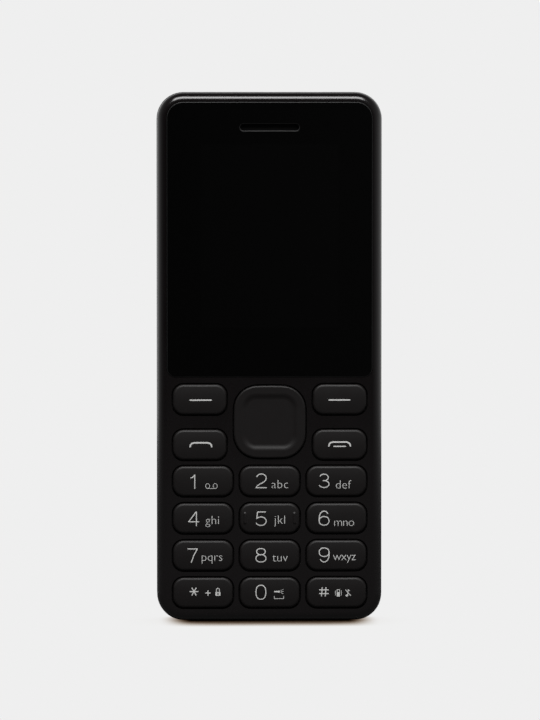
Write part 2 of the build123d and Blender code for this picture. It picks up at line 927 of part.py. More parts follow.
# Loudspeaker against the rear wall of the chassis, and the mesh behind its slots
with BuildPart() as loudspeaker:
    add(
        plate(
            pocket_back - speaker_thick,
            speaker_place,
            speaker_z,
            speaker_width,
            speaker_length,
            speaker_radius,
            speaker_thick,
        )
    )
loudspeaker.part.label = "loudspeaker"

mesh_width = grille_columns * grille_pitch_across
mesh_height = grille_rows * grille_pitch_up
with BuildPart() as speaker_mesh:
    add(
        plate(
            chassis_back - speaker_mesh_thick,
            speaker_place,
            speaker_z,
            mesh_width,
            mesh_height,
            grille_height,
            speaker_mesh_thick,
        )
    )
speaker_mesh.part.label = "speaker_mesh"

# Camera: a square base with a barrel that looks out of the back, and the clear window before it
with BuildPart() as camera_module:
    with BuildSketch(facing(board_back)):
        with Locations((0, camera_z)):
            Rectangle(camera_size, camera_size)
    extrude(amount=-camera_base)
    add(
        posts(
            [(0, camera_z)],
            board_back + camera_base,
            pocket_back - fit_gap,
            camera_barrel_radius,
        )
    )
    add(
        posts(
            [(0, camera_z)],
            pocket_back - fit_gap - camera_eye_depth,
            pocket_back,
            camera_eye_radius,
        ),
        mode=Mode.SUBTRACT,
    )
camera_module.part.label = "camera_module"

with BuildPart() as camera_window:
    add(
        posts(
            [(0, camera_z)],
            chassis_back - camera_window_thick,
            chassis_back,
            camera_window_radius,
        )
    )
camera_window.part.label = "camera_window"

# Vibration motor lying across the board in a rubber boot, with a half-round weight on its shaft
shaft_left = motor_left - weight_gap - weight_length
with BuildPart() as vibration_motor:
    with BuildSketch(Plane.YZ.offset(motor_left)):
        with Locations((face_y + motor_depth, motor_z)):
            Circle(motor_radius)
            Circle(motor_bore, mode=Mode.SUBTRACT)
    extrude(amount=motor_length)
vibration_motor.part.label = "vibration_motor"

boot_right = motor_left + motor_length
with BuildPart() as vibration_boot:
    with BuildSketch(Plane.YZ.offset(boot_right)):
        with Locations((face_y + motor_depth, motor_z)):
            Rectangle(2 * (motor_radius + motor_lift), 2 * (motor_radius + boot_wall))
            Circle(motor_radius, mode=Mode.SUBTRACT)
    extrude(amount=-boot_length)
vibration_boot.part.label = "vibration_boot"

with BuildPart() as vibration_shaft:
    with BuildSketch(Plane.YZ.offset(shaft_left)):
        with Locations((face_y + motor_depth, motor_z)):
            Circle(shaft_radius)
    extrude(amount=weight_length + weight_gap + motor_length - shaft_seat)
vibration_shaft.part.label = "vibration_shaft"

with BuildPart() as vibration_weight:
    with BuildSketch(Plane.YZ.offset(shaft_left)):
        with Locations((face_y + motor_depth, motor_z)):
            Circle(weight_radius)
        with Locations((face_y + motor_depth, motor_z + shaft_radius + motor_lift)):
            Rectangle(
                2 * weight_radius,
                weight_radius,
                align=(Align.CENTER, Align.MIN),
                mode=Mode.SUBTRACT,
            )
        with Locations((face_y + motor_depth, motor_z)):
            Circle(shaft_radius, mode=Mode.SUBTRACT)
    extrude(amount=weight_length)
vibration_weight.part.label = "vibration_weight"

# Microphone at the bottom of the board in a rubber boot with a port towards the bottom edge
with BuildPart() as microphone:
    add(
        posts(
            [(microphone_place, microphone_z)],
            board_back,
            board_back + microphone_height,
            microphone_radius,
        )
    )
microphone.part.label = "microphone"

microphone_port_depth = board_back + microphone_height / 2
with BuildPart() as microphone_boot:
    add(
        posts(
            [(microphone_place, microphone_z)],
            board_back,
            board_back + microphone_height,
            microphone_radius + microphone_boot_wall,
        )
    )
    add(
        posts(
            [(microphone_place, microphone_z)],
            board_back,
            board_back + microphone_height,
            microphone_radius,
        ),
        mode=Mode.SUBTRACT,
    )
    with BuildSketch(Plane.XY.offset(microphone_z - microphone_radius)):
        with Locations((microphone_place, face_y + microphone_port_depth)):
            Circle(microphone_hole)
    extrude(amount=-2 * microphone_boot_wall, mode=Mode.SUBTRACT)
microphone_boot.part.label = "microphone_boot"

# Aerial: a thin plate on the rear wall of the bottom pocket, with two legs down to the board
aerial_z = (chassis_inset + chassis_wall + bay_bottom - bay_wall) / 2
with BuildPart() as antenna:
    with BuildSketch(facing(pocket_back - aerial_thick)):
        with Locations((0, aerial_z)):
            Rectangle(aerial_width, aerial_height)
    extrude(amount=-aerial_thick)
    add(
        posts(
            bottom_screws,
            pocket_back - aerial_thick,
            pocket_back,
            column_radius + aerial_clearance,
        ),
        mode=Mode.SUBTRACT,
    )
    with BuildSketch(facing(board_back)):
        with Locations((0, aerial_z)):
            with GridLocations(aerial_leg_pitch, 0, 2, 1):
                Rectangle(aerial_leg_width, aerial_thick)
    extrude(amount=board_back - pocket_back + aerial_thick)
antenna.part.label = "antenna"

# Rear housing: the chassis that closes the front housing, with the battery bay in its back
with BuildPart() as rear_housing:
    add(slab(chassis_inset, seam_depth, chassis_back, back_edge_radius - chassis_inset))
    add(slab(pocket_inset, seam_depth, floor_front, 0), mode=Mode.SUBTRACT)
    with BuildSketch(facing(floor_front)):
        with Locations((0, middle_z)):
            RectangleRounded(
                2 * pocket_half, phone_height - 2 * pocket_inset, pocket_radius
            )
        with Locations((0, battery_z)):
            RectangleRounded(
                bay_width + 2 * bay_wall,
                bay_length + 2 * bay_wall,
                bay_radius + bay_wall,
                mode=Mode.SUBTRACT,
            )
    extrude(amount=floor_front - pocket_back, mode=Mode.SUBTRACT)
    add(posts(screws, board_back, pocket_back, column_radius))
    add(
        plate(
            floor_back,
            0,
            battery_z,
            bay_width,
            bay_length,
            bay_radius,
            chassis_back - floor_back + cut_overrun,
        ),
        mode=Mode.SUBTRACT,
    )
    add(posts(screws, board_back, chassis_back, screw_hole), mode=Mode.SUBTRACT)
    add(
        posts(screws, board_back + head_seat - screw_head, chassis_back, driver_hole),
        mode=Mode.SUBTRACT,
    )
    with BuildSketch(facing(floor_front)):
        with Locations((-sim_x, sim_z), (sim_x, sim_z)):
            Rectangle(sim_width - 2 * sim_metal, sim_length - 2 * sim_metal)
        with Locations((-card_x, card_z)):
            Rectangle(card_width - 2 * sim_metal, card_length - 2 * sim_metal)
    extrude(amount=-bay_floor, mode=Mode.SUBTRACT)
    with BuildSketch(Plane.XY.offset(bay_top)):
        with Locations((0, face_y + pad_depth)):
            Rectangle(contact_count * contact_pitch, contact_height + 2 * pad_overhang)
    extrude(amount=bay_wall, mode=Mode.SUBTRACT)
    with BuildSketch(Plane.XY.offset(chassis_top)):
        with Locations((usb_place, face_y + usb_depth)):
            RectangleRounded(
                usb_width + 2 * fit_gap, usb_height + 2 * fit_gap, usb_radius + fit_gap
            )
        with Locations((jack_place, face_y + socket_depth)):
            Rectangle(jack_width + 2 * fit_gap, jack_height + 2 * fit_gap)
        with Locations((0, face_y + socket_depth)):
            Circle(torch_lens_radius + fit_gap)
    extrude(amount=-(chassis_wall + fit_gap), mode=Mode.SUBTRACT)
    with BuildSketch(facing(pocket_back)):
        with Locations((speaker_place, speaker_z)):
            with GridLocations(grille_pitch_across, grille_pitch_up, grille_columns, grille_rows):
                SlotOverall(grille_length, grille_height)
        with Locations((0, camera_z)):
            Circle(camera_view_radius)
    extrude(amount=-chassis_back_wall, mode=Mode.SUBTRACT)
    with BuildSketch(facing(chassis_back)):
        with Locations((speaker_place, speaker_z)):
            RectangleRounded(mesh_width, mesh_height, grille_height)
    extrude(amount=speaker_mesh_thick, mode=Mode.SUBTRACT)
    with BuildSketch(facing(chassis_back)):
        with Locations((0, camera_z)):
            Circle(camera_window_radius)
    extrude(amount=camera_window_thick, mode=Mode.SUBTRACT)
    with BuildSketch(Plane.XY.offset(chassis_inset)):
        with Locations((microphone_place, face_y + microphone_port_depth)):
            Circle(microphone_hole)
    extrude(amount=chassis_wall, mode=Mode.SUBTRACT)
rear_housing.part.label = "rear_housing"

# Screws: six alike, from the back through the chassis and the board into the front housing
head_back = board_back + head_seat
head_front = head_back - screw_head
with BuildPart() as housing_screws:
    add(posts(screws, head_front, head_back, screw_head_radius))
    add(posts(screws, board_front - screw_bite, head_front, screw_radius))
    with BuildSketch(facing(head_back)):
        with Locations(*screws):
            Rectangle(cross_length, cross_width)
            Rectangle(cross_width, cross_length)
    extrude(amount=cross_depth, mode=Mode.SUBTRACT)
housing_screws.part.label = "housing_screws"

# Rear cover: a thin tray that wraps the flanks and snaps over the chassis
cover_front = seam_depth + seam_gap
with BuildPart() as rear_cover:
    add(slab(0, cover_front, body_depth, back_edge_radius))
    add(
        slab(cover_wall, cover_front, cover_inside, back_edge_radius - cover_wall),
        mode=Mode.SUBTRACT,
    )
    with BuildSketch(Plane.XY.offset(phone_height)):
        with Locations((usb_place, face_y + usb_depth)):
            RectangleRounded(
                usb_width + 2 * usb_relief,
                usb_height + 2 * usb_relief,
                usb_radius + usb_relief,
            )
        with Locations((jack_place, face_y + socket_depth)):
            Circle(jack_bore + jack_relief)
        with Locations((0, face_y + socket_depth)):
            Circle(torch_lens_radius + torch_relief)
    extrude(amount=-cover_wall, mode=Mode.SUBTRACT)
    with BuildSketch(facing(cover_inside)):
        with Locations((speaker_place, speaker_z)):
            with GridLocations(grille_pitch_across, grille_pitch_up, grille_columns, grille_rows):
                SlotOverall(grille_length, grille_height)
        with Locations((0, camera_z)):
            Circle(camera_window_radius + camera_relief)
    extrude(amount=-cover_wall, mode=Mode.SUBTRACT)
    with BuildSketch(Plane.XY):
        with Locations((microphone_place, face_y + microphone_port_depth)):
            Circle(microphone_hole)
    extrude(amount=cover_wall, mode=Mode.SUBTRACT)
    with BuildSketch(Plane.XY):
        with Locations((0, face_y + cover_front)):
            RectangleRounded(nail_notch_width, 2 * nail_notch_height, nail_notch_height / 2)
    extrude(amount=nail_notch_depth, mode=Mode.SUBTRACT)
rear_cover.part.label = "rear_cover"

export_step(front_housing.part, "parts/front_housing.step")
export_step(display_window.part, "parts/display_window.step")
export_step(window_tape.part, "parts/window_tape.step")
export_step(earpiece_mesh.part, "parts/earpiece_mesh.step")
export_step(earpiece.part, "parts/earpiece.step")
export_step(lcd_frame.part, "parts/lcd_frame.step")
export_step(lcd_panel.part, "parts/lcd_panel.step")
export_step(lcd_flex.part, "parts/lcd_flex.step")
export_step(nav_key.part, "parts/nav_key.step")
export_step(nav_pad.part, "parts/nav_pad.step")
export_step(nav_plunger.part, "parts/nav_plunger.step")
export_step(keypad_mat.part, "parts/keypad_mat.step")
export_step(metal_domes.part, "parts/metal_domes.step")
export_step(dome_sheet.part, "parts/dome_sheet.step")
export_step(key_leds.part, "parts/key_leds.step")
export_step(main_board.part, "parts/main_board.step")
export_step(sim_holders.part, "parts/sim_holders.step")
export_step(card_holder.part, "parts/card_holder.step")
export_step(shield_cans.part, "parts/shield_cans.step")
export_step(battery_connector.part, "parts/battery_connector.step")
export_step(battery_contacts.part, "parts/battery_contacts.step")
export_step(battery.part, "parts/battery.step")
export_step(battery_pads.part, "parts/battery_pads.step")
export_step(usb_socket.part, "parts/usb_socket.step")
export_step(usb_tongue.part, "parts/usb_tongue.step")
export_step(headset_jack.part, "parts/headset_jack.step")
export_step(torch_led.part, "parts/torch_led.step")
export_step(torch_lens.part, "parts/torch_lens.step")
export_step(loudspeaker.part, "parts/loudspeaker.step")
export_step(speaker_mesh.part, "parts/speaker_mesh.step")
export_step(camera_module.part, "parts/camera_module.step")
export_step(camera_window.part, "parts/camera_window.step")
export_step(vibration_motor.part, "parts/vibration_motor.step")
export_step(vibration_boot.part, "parts/vibration_boot.step")
export_step(vibration_shaft.part, "parts/vibration_shaft.step")
export_step(vibration_weight.part, "parts/vibration_weight.step")
export_step(microphone.part, "parts/microphone.step")
export_step(microphone_boot.part, "parts/microphone_boot.step")
export_step(antenna.part, "parts/antenna.step")
export_step(rear_housing.part, "parts/rear_housing.step")
export_step(housing_screws.part, "parts/housing_screws.step")
export_step(rear_cover.part, "parts/rear_cover.step")
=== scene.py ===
import math
import bpy
import bmesh
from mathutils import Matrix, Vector
from mathutils.bvhtree import BVHTree


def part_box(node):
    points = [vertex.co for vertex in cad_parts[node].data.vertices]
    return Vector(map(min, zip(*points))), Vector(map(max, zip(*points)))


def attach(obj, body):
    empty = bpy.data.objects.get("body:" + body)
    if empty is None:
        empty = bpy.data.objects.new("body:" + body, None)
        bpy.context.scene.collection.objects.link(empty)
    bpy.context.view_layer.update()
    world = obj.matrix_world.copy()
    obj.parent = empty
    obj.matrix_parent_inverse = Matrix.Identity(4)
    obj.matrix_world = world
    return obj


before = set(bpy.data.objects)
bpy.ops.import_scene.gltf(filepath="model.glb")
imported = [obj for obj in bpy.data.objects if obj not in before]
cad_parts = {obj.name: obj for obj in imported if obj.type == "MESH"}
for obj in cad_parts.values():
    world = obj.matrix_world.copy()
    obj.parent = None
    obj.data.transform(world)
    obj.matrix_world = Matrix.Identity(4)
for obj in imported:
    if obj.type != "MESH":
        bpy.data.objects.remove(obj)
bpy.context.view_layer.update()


# Front housing
# The tray that faces the user, moulded in black ABS in a tool spark eroded to a fine matt grain.
# Six screws from behind hold it to the chassis, and its rim is rounded all the way round.
mm = 0.001
gloss_spread = 0.03


def linear(hex_colour):
    """An sRGB hex colour as linear red, green and blue, with an alpha of 1."""
    light = []
    for at in (1, 3, 5):
        level = int(hex_colour[at:at + 2], 16) / 255
        light.append(level / 12.92 if level <= 0.04045 else ((level + 0.055) / 1.055) ** 2.4)
    return (*light, 1.0)


def add_node(tree, kind, settings=None, inputs=None):
    """Adds a node with its settings; an input that is another node's socket is linked.
    Sockets that share a name go by number: of a Mix, 0 is the share, 2 and 3 are its numbers and
    6 and 7 its colours."""
    node = tree.nodes.new("ShaderNode" + kind)
    for name, value in (settings or {}).items():
        setattr(node, name, value)
    for name, value in (inputs or {}).items():
        if isinstance(value, bpy.types.NodeSocket):
            tree.links.new(value, node.inputs[name])
        else:
            node.inputs[name].default_value = value
    return node


def new_finish(name):
    """A material named for a real finish, still without nodes."""
    finish = bpy.data.materials.new(name)
    finish.use_nodes = True
    finish.node_tree.nodes.clear()
    return finish


def dress(finish, *names):
    """Gives CAD nodes a finish, in every slot that they have."""
    for name in names:
        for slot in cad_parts[name].material_slots:
            slot.material = finish


def moulded(name, low, high, roughness, grain, depth, refraction=1.52, mottle=9.0):
    """A moulded plastic or rubber: two close tones in broad patches, and a grain from its tool.
    The grain and the patches are in millimetres, and so is the depth of the grain."""
    finish = new_finish(name)
    tree = finish.node_tree
    place = add_node(tree, "TexCoord").outputs["Object"]
    patches = add_node(tree, "TexNoise", {}, {"Vector": place, "Scale": 1 / (mottle * mm), "Detail": 2.0})
    tones = add_node(
        tree, "Mix", {"data_type": "RGBA"}, {0: patches.outputs["Fac"], 6: linear(low), 7: linear(high)}
    )
    pits = add_node(tree, "TexNoise", {}, {"Vector": place, "Scale": 1 / (grain * mm), "Detail": 3.0})
    relief = add_node(tree, "Bump", {}, {"Height": pits.outputs["Fac"], "Distance": depth * mm})
    gloss = add_node(
        tree,
        "MapRange",
        {},
        {
            "Value": patches.outputs["Fac"],
            "To Min": roughness - gloss_spread,
            "To Max": roughness + gloss_spread,
        },
    )
    shader = add_node(
        tree,
        "BsdfPrincipled",
        {},
        {
            "Base Color": tones.outputs[2],
            "Roughness": gloss.outputs["Result"],
            "IOR": refraction,
            "Normal": relief.outputs["Normal"],
        },
    )
    add_node(tree, "OutputMaterial", {}, {"Surface": shader.outputs[0]})
    return finish


# Black ABS from a spark-eroded tool: a fairly sharp sheen, with bright lights along the rim that a
# fine grain breaks up close to.
front_finish = moulded(
    "black_abs_fine_grain", "#0b0808", "#0e0b0c", roughness=0.19, grain=0.16, depth=0.0015
)
dress(front_finish, "front_housing")


# Display window
# One plate of hard-coated acrylic over the whole upper half, stuck down with a tape frame.
# It is printed black behind, apart from the display's own field, which is a shade greyer when off.
field_width = 30.6
field_height = 40.8
field_middle = 86.0
smear_size = 22
smear_gloss = (0.03, 0.06)
edge_gloss = 0.6
face_on = 0.97

# Hard-coated acrylic over black print: a deep, even black, as smooth as a mirror on its face and
# dull where its edge is bevelled.
window_finish = new_finish("acrylic_window_black_print")
tree = window_finish.node_tree
place = add_node(tree, "TexCoord").outputs["Object"]
apart = add_node(tree, "SeparateXYZ", {}, {0: place})
across = add_node(tree, "Math", {"operation": "ABSOLUTE"}, {0: apart.outputs["X"]})
within = add_node(tree, "Math", {"operation": "LESS_THAN"}, {0: across.outputs[0], 1: field_width / 2 * mm})
rise = add_node(tree, "Math", {"operation": "SUBTRACT"}, {0: apart.outputs["Z"], 1: field_middle * mm})
away = add_node(tree, "Math", {"operation": "ABSOLUTE"}, {0: rise.outputs[0]})
level = add_node(tree, "Math", {"operation": "LESS_THAN"}, {0: away.outputs[0], 1: field_height / 2 * mm})
field = add_node(tree, "Math", {"operation": "MULTIPLY"}, {0: within.outputs[0], 1: level.outputs[0]})
tones = add_node(
    tree, "Mix", {"data_type": "RGBA"}, {0: field.outputs[0], 6: linear("#050505"), 7: linear("#060606")}
)
smears = add_node(tree, "TexNoise", {}, {"Vector": place, "Scale": 1 / (smear_size * mm), "Detail": 1.0})
polish = add_node(
    tree,
    "MapRange",
    {},
    {"Value": smears.outputs["Fac"], "To Min": smear_gloss[0], "To Max": smear_gloss[1]},
)
facing = add_node(tree, "SeparateXYZ", {}, {0: add_node(tree, "TexCoord").outputs["Normal"]})
frontal = add_node(tree, "Math", {"operation": "ABSOLUTE"}, {0: facing.outputs["Y"]})
cut_edge = add_node(tree, "Math", {"operation": "LESS_THAN"}, {0: frontal.outputs[0], 1: face_on})
gloss = add_node(
    tree, "Mix", {"data_type": "FLOAT"}, {0: cut_edge.outputs[0], 2: polish.outputs[0], 3: edge_gloss}
)
shader = add_node(
    tree,
    "BsdfPrincipled",
    {},
    {"Base Color": tones.outputs[2], "Roughness": gloss.outputs[0], "IOR": 1.49},
)
add_node(tree, "OutputMaterial", {}, {"Surface": shader.outputs[0]})
dress(window_finish, "display_window")


# Keys
# Sixteen caps and the one-piece navigation key, moulded in polycarbonate and sprayed satin black.
# They come through the housing from behind, and a flange on each keeps it over a silicone mat.
key_names = [f"key_{place}" for place in "0123456789"] + ["key_star", "key_hash"]
key_names += ["soft_key_left", "soft_key_right", "call_key", "end_key"]

# Satin lacquer on polycarbonate: a soft grey sheen that grows towards each cap's upper edge. Its
# IOR is low, because the lacquer mirrors less than bare plastic does.
key_finish = moulded(
    "polycarbonate_satin_lacquer", "#0b0707", "#0d0909",
    roughness=0.5, grain=0.22, depth=0.001, refraction=1.42, mottle=6.0,
)
dress(key_finish, *key_names, "nav_key")


# Legends
# The digits, letters and small general signs on the caps, screen printed in off-white ink a few
# hundredths of a millimetre thick. Each legend follows its cap's crown and moves with its key.
digit_line = 0.21
digit_width = 2.34
digit_height = 3.14
bold_line = 0.22
sign_line = 0.12
fine_line = 0.11
mitre_limit = 1.7
end_angles = (30, 55, 78)
letter_height = 1.2
letter_thinning = 0.018
letter_halvings = 3
letter_weld = 1e-5
print_front = -50
print_lift = 0.02
print_sink = 0.05
print_coat = 0.002
print_step = 0.25
print_weld = 1e-7


def arc(x, z, across, up, start, end, steps=14):
    """Points along part of an ellipse, by angles in degrees."""
    angles = [math.radians(start + (end - start) * step / steps) for step in range(steps + 1)]
    return [(x + across * math.cos(angle), z + up * math.sin(angle)) for angle in angles]


def ring(x, z, across, up, squareness=2.0, steps=28):
    """Points round a closed oval; a squareness over 2 fills its corners."""
    points = []
    for step in range(steps):
        angle = 2 * math.pi * step / steps
        side, rise = math.cos(angle), math.sin(angle)
        reach = (abs(side) ** squareness + abs(rise) ** squareness) ** (-1 / squareness)
        points.append((x + across * reach * side, z + up * reach * rise))
    return points


half_wide = digit_width / 2
half_high = digit_height / 2

# The strokes of each digit, in millimetres from the lower left corner of its middle lines.
digit_six = [
    ("line", arc(half_wide, half_high, 1.1, half_high, 38, 180, 16) + [(0.02, 0.95)]),
    ("ring", ring(half_wide, 0.96, 1.1, 0.96, 2.2)),
]
digits = {
    "0": [("ring", ring(half_wide, half_high, 1.1, half_high, 2.4))],
    "1": [("line", [(0.05, 2.36), (0.55, 2.54), (0.98, 3.08), (0.98, -0.04)])],
    "2": [
        (
            "line",
            arc(1.28, 2.2, 1.08, 0.94, 164, -22, 16)
            + [(2.02, 1.5), (1.5, 1.14), (0.86, 0.84), (0.36, 0.46), (0.1, 0.06), (2.46, 0.06)],
        )
    ],
    "3": [
        ("line", arc(1.08, 2.28, 0.95, 0.74, 160, -90, 16)[:-1] + [(0.8, 1.56)]),
        ("line", [(0.8, 1.56)] + arc(1.08, 0.79, 1.12, 0.77, 84, -162, 16)),
    ],
    "4": [
        ("line", [(1.64, 3.06), (0.02, 0.86), (2.34, 0.86)]),
        ("line", [(1.74, 3.12), (1.74, -0.14)]),
    ],
    "5": [
        ("line", [(2.24, 3.02), (0.4, 3.02), (0.24, 1.58)] + arc(1.16, 0.96, 1.18, 0.96, 130, -158, 20)),
    ],
    "6": digit_six,
    "7": [("line", [(0.0, 3.03), (2.2, 3.03), (1.35, 1.45), (0.84, -0.06)])],
    "8": [
        ("ring", ring(half_wide, 0.82, 1.12, 0.82, 2.2)),
        ("ring", ring(half_wide, 2.33, 0.96, 0.69, 2.2)),
    ],
    "9": [
        (kind, [(digit_width - x, digit_height - z) for x, z in points]) for kind, points in digit_six
    ],
}


def in_steps(points, closed):
    """The same line with points close enough together to follow a cap's crown."""
    ends = points[1:] + points[:1] if closed else points[1:]
    close = []
    for (x, z), (next_x, next_z) in zip(points, ends):
        count = max(1, math.ceil(math.hypot(next_x - x, next_z - z) / print_step))
        for step in range(count):
            share = step / count
            close.append((x + (next_x - x) * share, z + (next_z - z) * share))
    return close if closed else close + [points[-1]]


def edges_of(points, width, closed, rounded):
    """The left and right edges of a stroke along points, with mitred corners and, if rounded,
    round ends."""
    count = len(points)
    rows = []
    for at, point in enumerate(points):
        here = Vector(point)
        back = Vector(points[at - 1]) if at or closed else None
        ahead = Vector(points[(at + 1) % count]) if at < count - 1 or closed else None
        way_in = (here - back).normalized() if back else (ahead - here).normalized()
        way_out = (ahead - here).normalized() if ahead else way_in
        along = (way_in + way_out).normalized()
        side = Vector((-along.y, along.x))
        stretch = 1 / max(along.dot(way_in), 1 / mitre_limit)
        rows.append((here, side, width / 2 * stretch))
    if rounded:
        for end, turn in ((0, -1), (-1, 1)):
            here, side, half = rows[end]
            along = Vector((side.y, -side.x)) * turn
            caps = [
                (here + along * half * math.sin(angle), side, half * math.cos(angle))
                for angle in map(math.radians, end_angles)
            ]
            rows = caps[::-1] + rows if end == 0 else rows + caps
    return [(here + side * half, here - side * half) for here, side, half in rows]


def set_letters(text, spacing):
    """The mesh of a word in the built-in face, one unit thick."""
    curve = bpy.data.curves.new("letters", "FONT")
    curve.body = text
    curve.extrude = 0.5
    curve.offset = -letter_thinning
    curve.space_character = spacing
    curve.resolution_u = 3
    carrier = bpy.data.objects.new("letters", curve)
    bpy.context.scene.collection.objects.link(carrier)
    drawn = bpy.data.meshes.new_from_object(
        carrier.evaluated_get(bpy.context.evaluated_depsgraph_get())
    )
    bpy.data.objects.remove(carrier)
    return drawn


def reach_of(text, spacing):
    """How wide a word is, and how high it stands on its baseline."""
    drawn = set_letters(text, spacing)
    across = [v.co.x for v in drawn.vertices]
    top = max(v.co.y for v in drawn.vertices)
    bpy.data.meshes.remove(drawn)
    return max(across) - min(across), top


class Print:
    """The ink on one cap: closed strokes and letters laid on its crown."""

    def __init__(self, key):
        self.key = key
        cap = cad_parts[key].data
        corners = [v.co for v in cap.vertices]
        self.crown = BVHTree.FromPolygons(corners, [tuple(p.vertices) for p in cap.polygons])
        self.ink = bmesh.new()
        self.lift = print_lift

    def on_crown(self, x, z, lift):
        """A point on the cap's front at x and z in millimetres, lifted off it."""
        before = Vector((x * mm, print_front * mm, z * mm))
        hit = self.crown.ray_cast(before, Vector((0, 1, 0)))[0]
        return Vector((x * mm, hit.y - lift * mm, z * mm))

    def stroke(self, points, width, closed=False, rounded=False):
        """One line of ink, in short steps so that it follows the crown, a hair above the last."""
        self.lift += print_coat
        rows = []
        for left, right in edges_of(in_steps(points, closed), width, closed, rounded):
            rows.append(
                [
                    self.ink.verts.new(self.on_crown(left.x, left.y, self.lift)),
                    self.ink.verts.new(self.on_crown(right.x, right.y, self.lift)),
                    self.ink.verts.new(self.on_crown(right.x, right.y, -print_sink)),
                    self.ink.verts.new(self.on_crown(left.x, left.y, -print_sink)),
                ]
            )
        pairs = list(zip(rows, rows[1:]))
        if closed:
            pairs.append((rows[-1], rows[0]))
        else:
            self.ink.faces.new(rows[0])
            self.ink.faces.new(rows[-1])
        for first, second in pairs:
            for at in range(len(first)):
                after = (at + 1) % len(first)
                self.ink.faces.new((first[at], first[after], second[after], second[at]))

    def patch(self, outline):
        """A filled flat sign, given by its outline."""
        front = [self.ink.verts.new(self.on_crown(x, z, print_lift)) for x, z in outline]
        rear = [self.ink.verts.new(self.on_crown(x, z, -print_sink)) for x, z in outline]
        self.ink.faces.new(front)
        self.ink.faces.new(rear)
        for at in range(len(outline)):
            after = (at + 1) % len(outline)
            self.ink.faces.new((front[at], front[after], rear[after], rear[at]))

    def digit(self, sign, left, bottom):
        """One digit, with the lower left corner of its ink given."""
        for kind, points in digits[sign]:
            moved = [(x + left + digit_line / 2, z + bottom + digit_line / 2) for x, z in points]
            self.stroke(moved, digit_line, closed=kind == "ring")

    def letters(self, text, left, right, baseline):
        """Letters from the built-in face, spaced out until they are as wide as given."""
        size = letter_height / reach_of("x", 1.0)[1]
        tight = reach_of(text, 1.0)[0]
        loose = reach_of(text, 2.0)[0]
        drawn = set_letters(text, 1 + ((right - left) / size - tight) / (loose - tight))
        cut = bmesh.new()
        cut.from_mesh(drawn)
        bmesh.ops.remove_doubles(cut, verts=cut.verts, dist=letter_weld)
        first = min(v.co.x for v in cut.verts)
        for halving in range(letter_halvings):
            bmesh.ops.triangulate(cut, faces=cut.faces)
            long = [e for e in cut.edges if e.calc_length() * size > 2 * print_step]
            bmesh.ops.subdivide_edges(cut, edges=long, cuts=1)
        laid = {}
        for v in cut.verts:
            lift = print_lift if v.co.z > 0 else -print_sink
            x = left + (v.co.x - first) * size
            laid[v] = self.ink.verts.new(self.on_crown(x, baseline + v.co.y * size, lift))
        for face in cut.faces:
            self.ink.faces.new([laid[v] for v in face.verts])
        cut.free()
        bpy.data.meshes.remove(drawn)

    def dry(self):
        """Makes the ink one piece that moves with its key."""
        bmesh.ops.remove_doubles(self.ink, verts=self.ink.verts, dist=print_weld)
        bmesh.ops.recalc_face_normals(self.ink, faces=self.ink.faces)
        mesh = bpy.data.meshes.new("legend_" + self.key)
        self.ink.to_mesh(mesh)
        self.ink.free()
        mesh.materials.append(ink_finish)
        legend = bpy.data.objects.new("legend_" + self.key, mesh)
        bpy.context.scene.collection.objects.link(legend)
        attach(legend, self.key)


# Off-white screen ink: flat and slightly chalky beside the satin lacquer.
ink_finish = moulded(
    "off_white_screen_ink", "#c6c6c4", "#d4d4d2",
    roughness=0.55, grain=0.12, depth=0.004, refraction=1.5, mottle=2.0,
)

# In millimetres: the digit's left and lower edge, and the letters' left edge, right edge and
# baseline.
number_legends = {
    "key_2": (("2", -3.26, 29.74), ("abc", 0.42, 4.08, 29.77)),
    "key_3": (("3", 10.93, 29.79), ("def", 14.76, 18.19, 29.66)),
    "key_4": (("4", -18.20, 21.36), ("ghi", -14.33, -11.33, 21.74)),
    "key_5": (("5", -3.23, 21.36), ("jkl", 1.02, 3.40, 21.82)),
    "key_6": (("6", 10.86, 21.40), ("mno", 14.40, 18.84, 21.28)),
    "key_7": (("7", -18.46, 13.11), ("pqrs", -15.17, -10.57, 13.54)),
    "key_8": (("8", -3.24, 13.18), ("tuv", 0.60, 4.00, 13.38)),
    "key_9": (("9", 10.87, 13.16), ("wxyz", 14.12, 19.22, 13.62)),
}
for key, ((sign, left, bottom), (text, start, end, baseline)) in number_legends.items():
    legend = Print(key)
    legend.digit(sign, left, bottom)
    legend.letters(text, start, end, baseline)
    legend.dry()

# One, with the two joined rings that stand for voice messages
ring_middles = (-13.86, -12.16)
ring_level = 30.3
ring_wide = 0.45
ring_high = 0.55
legend = Print("key_1")
legend.digit("1", -17.80, 29.63)
for middle in ring_middles:
    legend.stroke(ring(middle, ring_level, ring_wide, ring_high), fine_line, closed=True)
legend.stroke([(middle, ring_level - ring_high) for middle in ring_middles], fine_line)
legend.dry()

# Zero, with a small torch and its beam over the sign for a space
torch_left = 0.98
torch_level = 6.65
torch = [(0, -0.15), (0.74, -0.15), (1.22, -0.25), (1.22, 0.25), (0.74, 0.15), (0, 0.15)]
beams = [((1.44, 0.21), (2.08, 0.49)), ((1.48, 0), (2.12, 0)), ((1.44, -0.21), (2.08, -0.49))]
beam_line = 0.08
legend = Print("key_0")
legend.digit("0", -3.25, 4.84)
legend.patch([(torch_left + x, torch_level + z) for x, z in torch])
for beam in beams:
    legend.stroke([(torch_left + x, torch_level + z) for x, z in beam], beam_line)
legend.stroke([(1.02, 5.66), (1.02, 5.08), (3.1, 5.08), (3.1, 5.66)], sign_line)
legend.dry()

